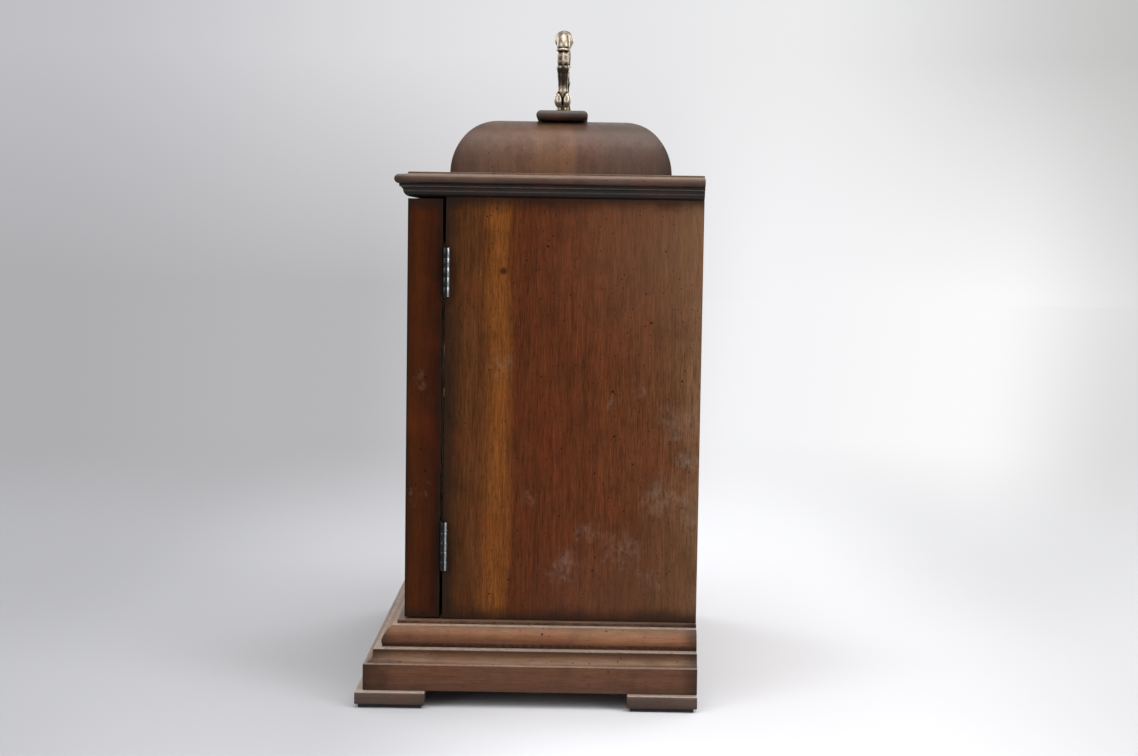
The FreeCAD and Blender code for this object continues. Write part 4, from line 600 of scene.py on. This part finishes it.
def softened(node, finish, width_mm):
    # copy of a node's solid with its sharp edges rounded
    source = nodes[node].data.copy()
    piece = link("soft_" + node, source)
    work = bmesh.new()
    work.from_mesh(source)
    bmesh.ops.remove_doubles(work, verts=work.verts, dist=1e-6)
    bmesh.ops.dissolve_limit(work, angle_limit=math.radians(0.6), verts=work.verts, edges=work.edges)
    work.to_mesh(source)
    work.free()
    cut = piece.modifiers.new("arris", "BEVEL")
    cut.width = width_mm * MM
    cut.segments = 2
    cut.limit_method = "ANGLE"
    cut.angle_limit = math.radians(35)
    settle(piece)
    flatten_boards(piece.data)
    dress(piece, finish, node)


WOODEN = {
    "case_side_right": (side_walnut, 0.6), "case_side_left": (side_walnut, 0.6),
    "door_stiles": (door_walnut, 0.7), "door_rails": (door_walnut, 0.5), "glazing_beads": (door_walnut, 0.4),
    "crown_moulding_front": (crown_front_walnut, 0.35), "crown_moulding_returns": (crown_side_walnut, 0.35),
    "bell_mouldings_long": (bell_front_walnut, 0.4), "bell_mouldings_short": (bell_side_walnut, 0.4),
    "bell_cap": (bell_front_walnut, 0.2), "case_top_board": (top_walnut, 0.3),
    "base_moulding_front": (base_front_walnut, 0.35), "base_moulding_returns": (base_side_walnut, 0.35),
    "feet": (foot_walnut, 0.6), "handle_plinth": (plinth_walnut, 0.3),
    "case_bottom_board": (raw_pine, 0.3), "base_panel": (raw_pine, 0.3), "base_back_rail": (back_walnut, 0.5),
    "dial_battens": (raw_pine, 0.3), "seatboard": (raw_pine, 0.4), "felt_pads": (felt, 0.4),
}
for node, (finish, width) in WOODEN.items():
    softened(node, finish, width)
print("wooden pieces:", len(WOODEN))

# %% [markdown]
# ## The cast handle
# The bail is one brass casting: waisted arms with two scrolled lobes at the foot, a six-sided bead and
# a collar on each arm, a bend, and a turned grip that rises to a ball. A plain sweep can't change its
# outline from round to six-sided, so each arm is a stack of rings whose outline is blended along the
# path. The rings, lobes, eyes and pins are then fused by a voxel remesh, as molten metal would be,
# and the hollows are measured so that the dark patina can settle in them.

# %% Handle: sizes and path
fold = next(j for j in frame["record"]["behaviour"]["joints"] if j["name"] == "handle_fold")
AXIS_Y, AXIS_Z = fold["pos_m"][1] / MM, fold["pos_m"][2] / MM
ARM_X, BEND_R, RISE = 52.3, 6.5, math.radians(4.2)
REACH, BALL_R = 36.1, 5.4
grip_out = ARM_X - BEND_R * (1 - math.sin(RISE))
ARM_TOP = REACH - BEND_R * math.cos(RISE) - grip_out * math.tan(RISE)
BEND_LENGTH = BEND_R * (math.pi / 2 - RISE)
GRIP_LENGTH = grip_out / math.cos(RISE)
# (distance along the path, half width across, half width in and out, how six-sided)
ARM_FORM = [
    (-2.0, 1.6, 1.6, 0), (1.0, 2.2, 2.2, 0), (3.6, 2.75, 2.5, 0), (5.2, 2.6, 2.4, 0), (8.0, 2.6, 2.4, 0),
    (12.5, 2.95, 2.8, 0), (16.6, 3.5, 3.3, 0), (17.3, 3.1, 3.0, 0.3),
    (18.1, 3.35, 3.6, 1), (19.2, 3.62, 4.15, 1),
    (22.6, 3.6, 4.1, 1), (23.9, 3.3, 3.7, 1), (24.3, 2.9, 3.1, 0.6), (24.9, 3.0, 3.1, 0), (25.1, 3.85, 3.85, 0),
    (26.1, 3.9, 3.9, 0), (26.4, 3.25, 3.3, 0), (28.0, 3.5, 3.4, 0), (32.0, 3.7, 3.4, 0), (36.5, 3.45, 3.3, 0),
    (38.0, 2.9, 2.9, 0), (38.5, 3.6, 3.6, 0), (39.8, 3.6, 3.6, 0), (40.3, 2.8, 2.8, 0), (48.0, 3.5, 3.5, 0),
    (56.0, 3.2, 3.2, 0), (65.5, 2.7, 2.7, 0), (66.4, 3.9, 3.9, 0), (67.4, 4.3, 4.3, 0), (68.4, 3.9, 3.9, 0),
    (69.4, 2.8, 2.8, 0), (74.0, 2.6, 2.6, 0), (ARM_TOP + BEND_LENGTH + GRIP_LENGTH, 2.6, 2.6, 0)]


def arm_path(along):
    # point in the XZ plane and the direction of the path at a distance along it
    if along < ARM_TOP:
        return (ARM_X, along), math.pi / 2
    if along < ARM_TOP + BEND_LENGTH:
        turn = (along - ARM_TOP) / BEND_R
        centre = ARM_X - BEND_R
        return (centre + BEND_R * math.cos(turn), ARM_TOP + BEND_R * math.sin(turn)), math.pi / 2 + turn
    run = along - ARM_TOP - BEND_LENGTH
    return (grip_out - run * math.cos(RISE), REACH - (GRIP_LENGTH - run) * math.sin(RISE)), math.pi - RISE


def arm_form(along):
    # size and outline between the two nearest entries, eased so that the surface has no kinks
    for (a, *low), (b, *high) in zip(ARM_FORM, ARM_FORM[1:]):
        if along <= b:
            share = min(max((along - a) / (b - a), 0), 1)
            share = share * share * (3 - 2 * share)
            return [x + (y - x) * share for x, y in zip(low, high)]
    return ARM_FORM[-1][1:]


print("arm top", round(ARM_TOP, 2), "mm; path", round(ARM_FORM[-1][0], 1), "mm long")

# %% Handle: arm and grip as rings
RING_SIDES, RING_STEP = 48, 0.35


def ring_outline(turn, sixness):
    # distance from the middle: round, or six-sided with a corner to the outside, with a cast ridge
    slice_angle = (turn + math.pi / 6) % (math.pi / 3) - math.pi / 6
    hexagon = math.cos(math.pi / 6) / math.cos(math.pi / 6 - abs(slice_angle))
    ridge = 1 + 0.03 * math.exp(-(((turn + math.pi) % (2 * math.pi) - math.pi) / 0.16) ** 2)
    return (1 + (hexagon - 1) * sixness) * ridge


def add_arm(work, side):
    rings = []
    along = ARM_FORM[0][0]
    while along < ARM_FORM[-1][0]:
        (x, z), heading = arm_path(along)
        across, depth, sixness = arm_form(along)
        out = (math.sin(heading), -math.cos(heading))
        ring = []
        for k in range(RING_SIDES):
            turn = 2 * math.pi * k / RING_SIDES
            reach = ring_outline(turn, sixness)
            push = depth * math.cos(turn) * reach
            ring.append(work.verts.new((side * (x + out[0] * push), across * math.sin(turn) * reach,
                                        z + out[1] * push)))
        rings.append(ring)
        along += RING_STEP
    for low, high in zip(rings, rings[1:]):
        for k in range(RING_SIDES):
            work.faces.new((low[k], low[k - 1], high[k - 1], high[k]))
    work.faces.new(rings[0])
    work.faces.new(list(reversed(rings[-1])))


def add_blob(work, middle, radii):
    shape = Matrix.Translation(middle) @ Matrix.Diagonal((*radii, 1))
    bmesh.ops.create_uvsphere(work, u_segments=40, v_segments=24, radius=1, matrix=shape)


def add_rod(work, x0, x1, radius):
    # short rod along X on the handle's axis, its rim chamfered
    shape = Matrix.Translation(((x0 + x1) / 2, 0, 0)) @ Matrix.Rotation(math.pi / 2, 4, "Y")
    made = bmesh.ops.create_cone(work, cap_ends=True, segments=48, radius1=radius, radius2=radius,
                                 depth=abs(x1 - x0), matrix=shape)
    rims = {e for v in made["verts"] for e in v.link_edges if e.calc_face_angle(0) > 0.5}
    bmesh.ops.bevel(work, geom=list(rims), offset=0.35, segments=2, affect="EDGES", profile=0.5)


work = bmesh.new()
for side in (-1, 1):
    add_arm(work, side)
    for lobe_y in (-2.1, 2.1):
        add_blob(work, (side * ARM_X, lobe_y, -1.2), (2.7, 2.5, 4.3))
        add_blob(work, (side * (ARM_X + 1.9), lobe_y, -2.2), (0.9, 1.2, 1.5))
    add_rod(work, side * 49.3, side * 52.9, 3.65)
    add_rod(work, side * 42.7, side * 51.0, 1.5)
add_blob(work, (0, 0, REACH), (BALL_R * 0.98, BALL_R, BALL_R))
bmesh.ops.recalc_face_normals(work, faces=work.faces)
bmesh.ops.transform(work, matrix=Matrix.Translation((0, AXIS_Y, AXIS_Z)), verts=work.verts)
bmesh.ops.scale(work, vec=(MM, MM, MM), verts=work.verts)
handle = built("cast_handle", work)
print("handle shells before fusing:", len(handle.data.polygons), "faces")

# %% Handle: fuse, soften and find the hollows
fuse = handle.modifiers.new("fuse", "REMESH")
fuse.mode = "VOXEL"
fuse.voxel_size = 0.28 * MM
soften = handle.modifiers.new("soften", "SMOOTH")
soften.factor = 0.5
soften.iterations = 3
settle(handle, 180)


def store_hollows(mesh, reach_mm, rounds):
    # "hollow" attribute: how far each point lies below its smoothed surroundings, 0.5 is level
    work = bmesh.new()
    work.from_mesh(mesh)
    level = [v.co.copy() for v in work.verts]
    work.verts.ensure_lookup_table()
    around = [[e.other_vert(v).index for e in v.link_edges] for v in work.verts]
    for _ in range(rounds):
        level = [sum((level[i] for i in near), Vector()) / len(near) if near else level[n]
                 for n, near in enumerate(around)]
    depth = [(level[v.index] - v.co).dot(v.normal) / MM for v in work.verts]
    work.free()
    layer = mesh.attributes.new("hollow", "FLOAT", "POINT")
    layer.data.foreach_set("value", [min(max(0.5 + d / reach_mm, 0), 1) for d in depth])
    return min(depth), max(depth)


print("hollows mm:", [round(v, 2) for v in store_hollows(handle.data, 0.5, 14)])
dress(handle, aged_casting, "handle_bail")
print("handle faces:", len(handle.data.polygons))

# %% [markdown]
# ## Chapter ring
# The ring is silvered brass, engraved and filled with black wax: twelve Roman numerals that stand
# with their feet to the middle, and a minute track between two circles. The numerals are drawn from
# thick and thin strokes with serifs, as an engraver cuts them, because a typeface's numerals are too
# even. The sixty minute bars follow a rule, so a node tree sets them round a circle.

# %% Numerals from strokes
WAX_PROUD = 0.03        # how far the wax stands out of the ring, in mm
INK_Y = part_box("chapter_ring")[0].y / MM - WAX_PROUD
NUMERAL_LOW, NUMERAL_HIGH = 54.6, 66.4
THICK, THIN, SERIF = 2.0, 0.65, 0.45


def stroke(shapes, x0, x1, width):
    half = width / 2
    shapes.append([(x0 - half, NUMERAL_LOW), (x0 + half, NUMERAL_LOW), (x1 + half, NUMERAL_HIGH),
                   (x1 - half, NUMERAL_HIGH)])


def serif(shapes, x, width, top):
    z = NUMERAL_HIGH if top else NUMERAL_LOW + SERIF
    left, right = x - width / 2, x + width / 2
    shapes.append([(left, z - SERIF), (right, z - SERIF), (right, z), (left, z)])


def letter(shapes, sign, x):
    # draws one sign with its left edge at x and returns its width
    if sign == "I":
        stroke(shapes, x + 1.6, x + 1.6, THICK)
        for top in (False, True):
            serif(shapes, x + 1.6, 3.3, top)
        return 3.3
    lean = 2.6
    if sign == "V":
        stroke(shapes, x + 3.9, x + 3.9 - lean, THICK)
        stroke(shapes, x + 3.9, x + 3.9 + lean, THIN)
    else:
        stroke(shapes, x + 3.9 + lean, x + 3.9 - lean, THICK)
        stroke(shapes, x + 3.9 - lean, x + 3.9 + lean, THIN)
        for at in (-lean, lean):
            serif(shapes, x + 3.9 + at, 3.0, False)
    for at in (-lean, lean):
        serif(shapes, x + 3.9 + at, 3.0, True)
    return 7.8


def flat_shapes(work, shapes, hour_angle):
    # polygons drawn upright at twelve, turned round the dial; each lies a hair above the one before
    cos, sin = math.cos(hour_angle), math.sin(hour_angle)
    for n, shape in enumerate(shapes):
        corners = [work.verts.new(((x * cos + z * sin) * MM, (INK_Y - 0.0004 * n) * MM,
                                   (DIAL_Z - x * sin + z * cos) * MM)) for x, z in shape]
        face = work.faces.new(corners)
        face.normal_update()
        if face.normal.y > 0:
            face.normal_flip()


HOURS = ["XII", "I", "II", "III", "IIII", "V", "VI", "VII", "VIII", "IX", "X", "XI"]
work = bmesh.new()
for hour, signs in enumerate(HOURS):
    shapes, x = [], 0.0
    for sign in signs:
        x += letter(shapes, sign, x)
    shapes = [[(px - x / 2, pz) for px, pz in shape] for shape in shapes]
    flat_shapes(work, shapes, hour * math.pi / 6)
for inner, outer in ((52.8, 53.1), (67.6, 67.95), (71.1, 71.4)):
    for k in range(180):
        a, b = 2 * math.pi * k / 180, 2 * math.pi * (k + 1) / 180
        corners = ((inner, a), (outer, a), (outer, b), (inner, b))
        shape = [(r * math.sin(t), r * math.cos(t)) for r, t in corners]
        flat_shapes(work, [shape], 0)
numerals = built("hour_numerals", work)
dress(numerals, wax, "chapter_ring", replaces=False)
print("numeral faces:", len(numerals.data.polygons))


# %% Minute track by nodes
def tree_inputs(name, sizes):
    # geometry node tree with one named size input for each entry, in metres or as a count
    tree = bpy.data.node_groups.new(name, "GeometryNodeTree")
    tree.interface.new_socket("Geometry", in_out="INPUT", socket_type="NodeSocketGeometry")
    keys = {label: tree.interface.new_socket(label, in_out="INPUT", socket_type=kind).identifier
            for label, kind in sizes.items()}
    tree.interface.new_socket("Geometry", in_out="OUTPUT", socket_type="NodeSocketGeometry")
    return tree, keys


def run_tree(name, tree, keys, values):
    # evaluates the tree on an empty mesh and keeps the result as a plain mesh
    made = link(name, bpy.data.meshes.new(name))
    live = made.modifiers.new("nodes", "NODES")
    live.node_group = tree
    for label, value in values.items():
        live[keys[label]] = value
    shown = made.evaluated_get(bpy.context.evaluated_depsgraph_get())
    mesh = bpy.data.meshes.new_from_object(shown)
    made.modifiers.clear()
    made.data = mesh
    return made


track, track_keys = tree_inputs("minute_track", {
    "Radius": "NodeSocketFloat", "Count": "NodeSocketInt", "Bar width": "NodeSocketFloat",
    "Bar length": "NodeSocketFloat"})
given = add(track, "NodeGroupInput").outputs
circle = add(track, "GeometryNodeMeshCircle", {"Vertices": given["Count"], "Radius": given["Radius"]})
size = add(track, "CombineXYZ", [given["Bar length"], given["Bar width"], 0.00002])
bar = add(track, "GeometryNodeMeshCube", {"Size": size})
step = add(track, "Math", [2 * math.pi, given["Count"]], operation="DIVIDE")
angle = add(track, "Math", [add(track, "GeometryNodeInputIndex"), step], operation="MULTIPLY")
turned_bar = add(track, "CombineXYZ", {2: angle})
spread = add(track, "GeometryNodeInstanceOnPoints", {"Points": circle, "Instance": bar, "Rotation": turned_bar})
upright = add(track, "GeometryNodeTransform", {"Geometry": spread, "Translation": (0, INK_Y * MM, DIAL_Z * MM),
                                               "Rotation": (math.pi / 2, 0, 0)})
real = add(track, "GeometryNodeRealizeInstances", [upright])
inked = add(track, "GeometryNodeSetMaterial", {"Geometry": real, "Material": wax})
add(track, "NodeGroupOutput", [inked])
# (name, count, width, length and radius in mm)
BARS = [("minute_bars", 60, 0.4, 3.2, 69.5), ("five_minute_bars", 12, 1.2, 3.2, 69.5),
        ("quarter_bars", 48, 0.4, 1.3, 53.6)]
for name, count, width, length, radius in BARS:
    bars = run_tree(name, track, track_keys, {"Radius": radius * MM, "Count": count, "Bar width": width * MM,
                                              "Bar length": length * MM})
    dress(bars, wax, "chapter_ring", replaces=False)
    print(name, len(bars.data.polygons), "faces")

# %% [markdown]
# ## Corner ornaments and hands
# The four corner ornaments are cast and gilt: a pierced plate with raised C-scrolls and a bud. Each
# scroll is a tapering tube swept along a spiral and half sunk in the plate, the way such castings are
# modelled. The hands are filed from blued steel, so they keep their outline and only lose their edges.

# %% Corner scrolls
TUBE_SIDES = 10


def scroll_points(at, start, turns, size):
    # spiral from its eye outwards
    points = []
    for k in range(40):
        share = k / 39
        turn = start + turns * 2 * math.pi * share
        r = size * (0.18 + 0.82 * share ** 0.8)
        thick = 0.35 + 0.5 * math.sin(math.pi * share)
        points.append((at[0] + r * math.cos(turn), at[1] + r * math.sin(turn), thick))
    return points


def add_tube(work, points, y):
    rings = []
    turns = [2 * math.pi * k / TUBE_SIDES for k in range(TUBE_SIDES)]
    for n, (x, z, r) in enumerate(points):
        before, after = points[max(n - 1, 0)], points[min(n + 1, len(points) - 1)]
        way = Vector((after[0] - before[0], 0, after[1] - before[1])).normalized()
        across = Vector((-way.z, 0, way.x))
        ring = [Vector((x, y + r * math.sin(t), z)) + across * r * math.cos(t) for t in turns]
        rings.append([work.verts.new(at) for at in ring])
    for low, high in zip(rings, rings[1:]):
        for k in range(TUBE_SIDES):
            work.faces.new((low[k - 1], low[k], high[k], high[k - 1]))
    work.faces.new(rings[0])
    work.faces.new(rings[-1])


spandrel_low, spandrel_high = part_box("dial_spandrels")
SPANDREL_Y = spandrel_low.y / MM
corner_x, corner_z = spandrel_high.x / MM, spandrel_high.z / MM - DIAL_Z
# (eye from the corner in mm, first turn in radians, turns, size in mm)
SCROLLS = [((-9.5, -6.0), 0.4, 1.1, 5.2), ((-20, -4.6), 2.7, -0.9, 4.0), ((-29, -3.6), 0.2, 0.9, 2.8)]
softened("dial_spandrels", gilt_brass, 0.25)
work = bmesh.new()
for sx in (-1, 1):
    for sz in (-1, 1):
        for at, start, turns, size in SCROLLS:
            for swap in (False, True):
                points = [(corner_x + (z if swap else x), corner_z + (x if swap else z), r)
                          for x, z, r in scroll_points(at, start, turns, size)]
                add_tube(work, [(sx * x, DIAL_Z + sz * z, r) for x, z, r in points], SPANDREL_Y)
        add_blob(work, (sx * (corner_x - 4.2), SPANDREL_Y, DIAL_Z + sz * (corner_z - 4.2)), (2.1, 1.0, 2.1))
bmesh.ops.recalc_face_normals(work, faces=work.faces)
bmesh.ops.scale(work, vec=(MM, MM, MM), verts=work.verts)
scrolls = built("corner_scrolls", work)
scrolls.data.shade_smooth()
dress(scrolls, gilt_brass, "dial_spandrels", replaces=False)
softened("hour_hand", blued_steel, 0.14)
softened("minute_hand", blued_steel, 0.14)
print("scroll faces:", len(scrolls.data.polygons))

# %% [markdown]
# ## Hinges
# The butt hinges are pressed from steel sheet, so their edges are slightly round and the five knuckles
# part in dark lines. The rounding is what shows those lines at this size.

# %% Butt hinges
for node in ("case_hinge_leaves", "door_hinge_leaves", "hinge_pins", "case_screws", "door_screws"):
    softened(node, hinge_steel, 0.22)
for node in ("handle_posts", "door_knob"):
    softened(node, post_brass, 0.25)

# %% [markdown]
# ## Pieces that keep their solids
# Wheels, plates, arbors, the chapter ring, the glass and the rear door are already the right shape, so
# they keep their solids and only get their finish.

# %% Finishes on carried-over solids
CARRIED = [
    (clock_brass, [
        "dial_feet", "movement_front_plate", "movement_back_plate", "plate_pillars", "back_cock",
        "centre_wheel", "cannon_pinion", "hour_wheel", "minute_wheel", "intermediate_wheel", "barrel_drum",
        "barrel_cap", "third_wheel", "escape_wheel", "pendulum_bob"]),
    (bright_steel, ["movement_screws", "click", "click_spring", "barrel_arbor", "mainspring", "anchor",
                    "pendulum_rod"]),
    (aged_brass, ["rear_door_knob", "rear_door_hinge_leaves"]), (silvered, ["chapter_ring"]),
    (matted, ["dial_plate"]), (glass, ["door_glass"]), (back_walnut, ["rear_door_panel"])]
for finish, members in CARRIED:
    for node in members:
        shown = nodes[node]
        shown.data.materials.clear()
        shown.data.materials.append(finish)
        shown.data.shade_smooth()
        shown.data.set_sharp_from_angle(angle=math.radians(30))
print("carried-over nodes:", sum(len(members) for _, members in CARRIED))

# %% [markdown]
# ## Stage: floor, background and light
# The clock stands on a pale seamless sheet. The sheet is a wide disc that takes the clock's shadow
# near it and fades, farther out, to the same pale tone as the background, so no horizon shows. Soft
# lamps stand overhead and to both sides, and the light is level enough that a colour looks about
# as it is written.

# %% Floor and background
# painted light and shade: the background is darker grey towards the room's front and brightest towards its
# back, and the near floor is darker towards the clock's front
LOW_PAINTED_LIGHT_TONES = [(0.0, "#adadb0"), (0.3, "#b6b5b8"), (0.5, "#d4d4d6"),
             (0.68, "#f6f6f8"), (0.86, "#fafafa"), (1.0, "#dcdcdc")]
HIGH_PAINTED_LIGHT_TONES = [(0.0, "#c0bfc4"), (0.5, "#e6e6e8"), (0.68, "#ececed"), (1.0, "#c2c2c1")]
NEAR_PAINTED_SHADE_TONES = [(0.0, "#a6a6a9"), (0.35, "#bababd"), (0.55, "#dedee1"), (0.75, "#dcdcde"), (1.0, "#c9c9cb")]


def sideways(tree, split):
    # 0 to 1 from the front of the room to its back, by direction alone, for the painted light and shade of the
    # background
    length = add(tree, "Math", [split[0], split[0]], operation="MULTIPLY")
    length = add(tree, "Math", [split[1], split[1], length], operation="MULTIPLY_ADD")
    length = add(tree, "Math", [length], operation="SQRT")
    part = add(tree, "Math", [split[1], length], operation="DIVIDE")
    return add(tree, "MapRange", [part, -0.3, 0.3])


def unseen_rays(tree):
    # 1 for camera, mirror and glass rays, which see the background's own tone
    rays = add(tree, "LightPath").outputs
    seen = add(tree, "Math", [rays["Is Camera Ray"], rays["Is Glossy Ray"]], operation="MAXIMUM")
    return add(tree, "Math", [seen, rays["Is Transmission Ray"]], operation="MAXIMUM")


def eased_ramp(tree, factor, tones):
    band = add(tree, "ValToRGB", [factor], tones)
    band.color_ramp.interpolation = "EASE"
    return band


work = bmesh.new()
bmesh.ops.create_circle(work, cap_ends=True, radius=6.0, segments=96)
floor = built("floor", work)
floor_paper, tree = new_material("pale_seamless_paper")
place = add(tree, "TexCoord").outputs["Object"]
aside = add(tree, "SeparateXYZ", [place]).outputs[1]
fan = add(tree, "VectorMath", [place, (1.05, 0.0, 0.0)], operation="SUBTRACT")
fan = add(tree, "SeparateXYZ", [fan]).outputs
reach = add(tree, "VectorMath", [place], operation="LENGTH")
far = add(tree, "MapRange", [reach, 0.25, 1.3], interpolation_type="SMOOTHSTEP")
near_share = add(tree, "MapRange", [aside, -0.36, 0.36])
paper = add(tree, "BsdfDiffuse", {"Color": eased_ramp(tree, near_share, NEAR_PAINTED_SHADE_TONES)})
glow = add(tree, "Emission", {"Color": eased_ramp(tree, sideways(tree, fan), LOW_PAINTED_LIGHT_TONES)})
share = add(tree, "Math", [far, unseen_rays(tree)], operation="MULTIPLY")
add(tree, "OutputMaterial", {"Surface": add(tree, "MixShader", [share, paper, glow])})
floor.data.materials.append(floor_paper)

world = bpy.data.worlds.new("studio")
bpy.context.scene.world = world
world.use_nodes = True
tree = world.node_tree
tree.nodes.clear()
split = add(tree, "SeparateXYZ", [add(tree, "TexCoord").outputs["Generated"]]).outputs
part = sideways(tree, split)
height = add(tree, "MapRange", [split[2], -0.03, 0.09])
low_tone, high_tone = (eased_ramp(tree, part, tones) for tones in (LOW_PAINTED_LIGHT_TONES, HIGH_PAINTED_LIGHT_TONES))
tone = add(tree, "Mix", {0: height, 6: low_tone, 7: high_tone}, data_type="RGBA")
shown_light = add(tree, "Background", {"Color": tone})
room_light = add(tree, "Background", {"Color": linear("#f4f5f8"), "Strength": 0.4})
add(tree, "OutputWorld", {"Surface": add(tree, "MixShader", [unseen_rays(tree), room_light, shown_light])})
print("stage ready")

# %% Lamps
CLOCK_MIDDLE = Vector((0.0, 0.0, 0.18))


def soft_lamp(name, at, size, power):
    data = bpy.data.lights.new(name, "AREA")
    data.shape = "RECTANGLE"
    data.size, data.size_y = size
    data.energy = power
    lamp = bpy.data.objects.new(name, data)
    lamp.location = at
    lamp.rotation_euler = (CLOCK_MIDDLE - Vector(at)).to_track_quat("-Z", "Y").to_euler()
    bpy.context.scene.collection.objects.link(lamp)


soft_lamp("overhead", (0.25, 0.1, 1.5), (1.4, 1.4), 18)
soft_lamp("camera_left", (1.1, -1.1, 0.75), (0.9, 1.2), 9)
soft_lamp("camera_right", (0.9, 1.3, 0.9), (0.9, 1.2), 13)
soft_lamp("front_fill", (-0.9, -1.2, 0.8), (1.0, 1.0), 8)
soft_lamp("back_fill", (-1.1, 1.0, 0.8), (1.0, 1.0), 8)
bpy.context.scene.view_settings.view_transform = "Standard"
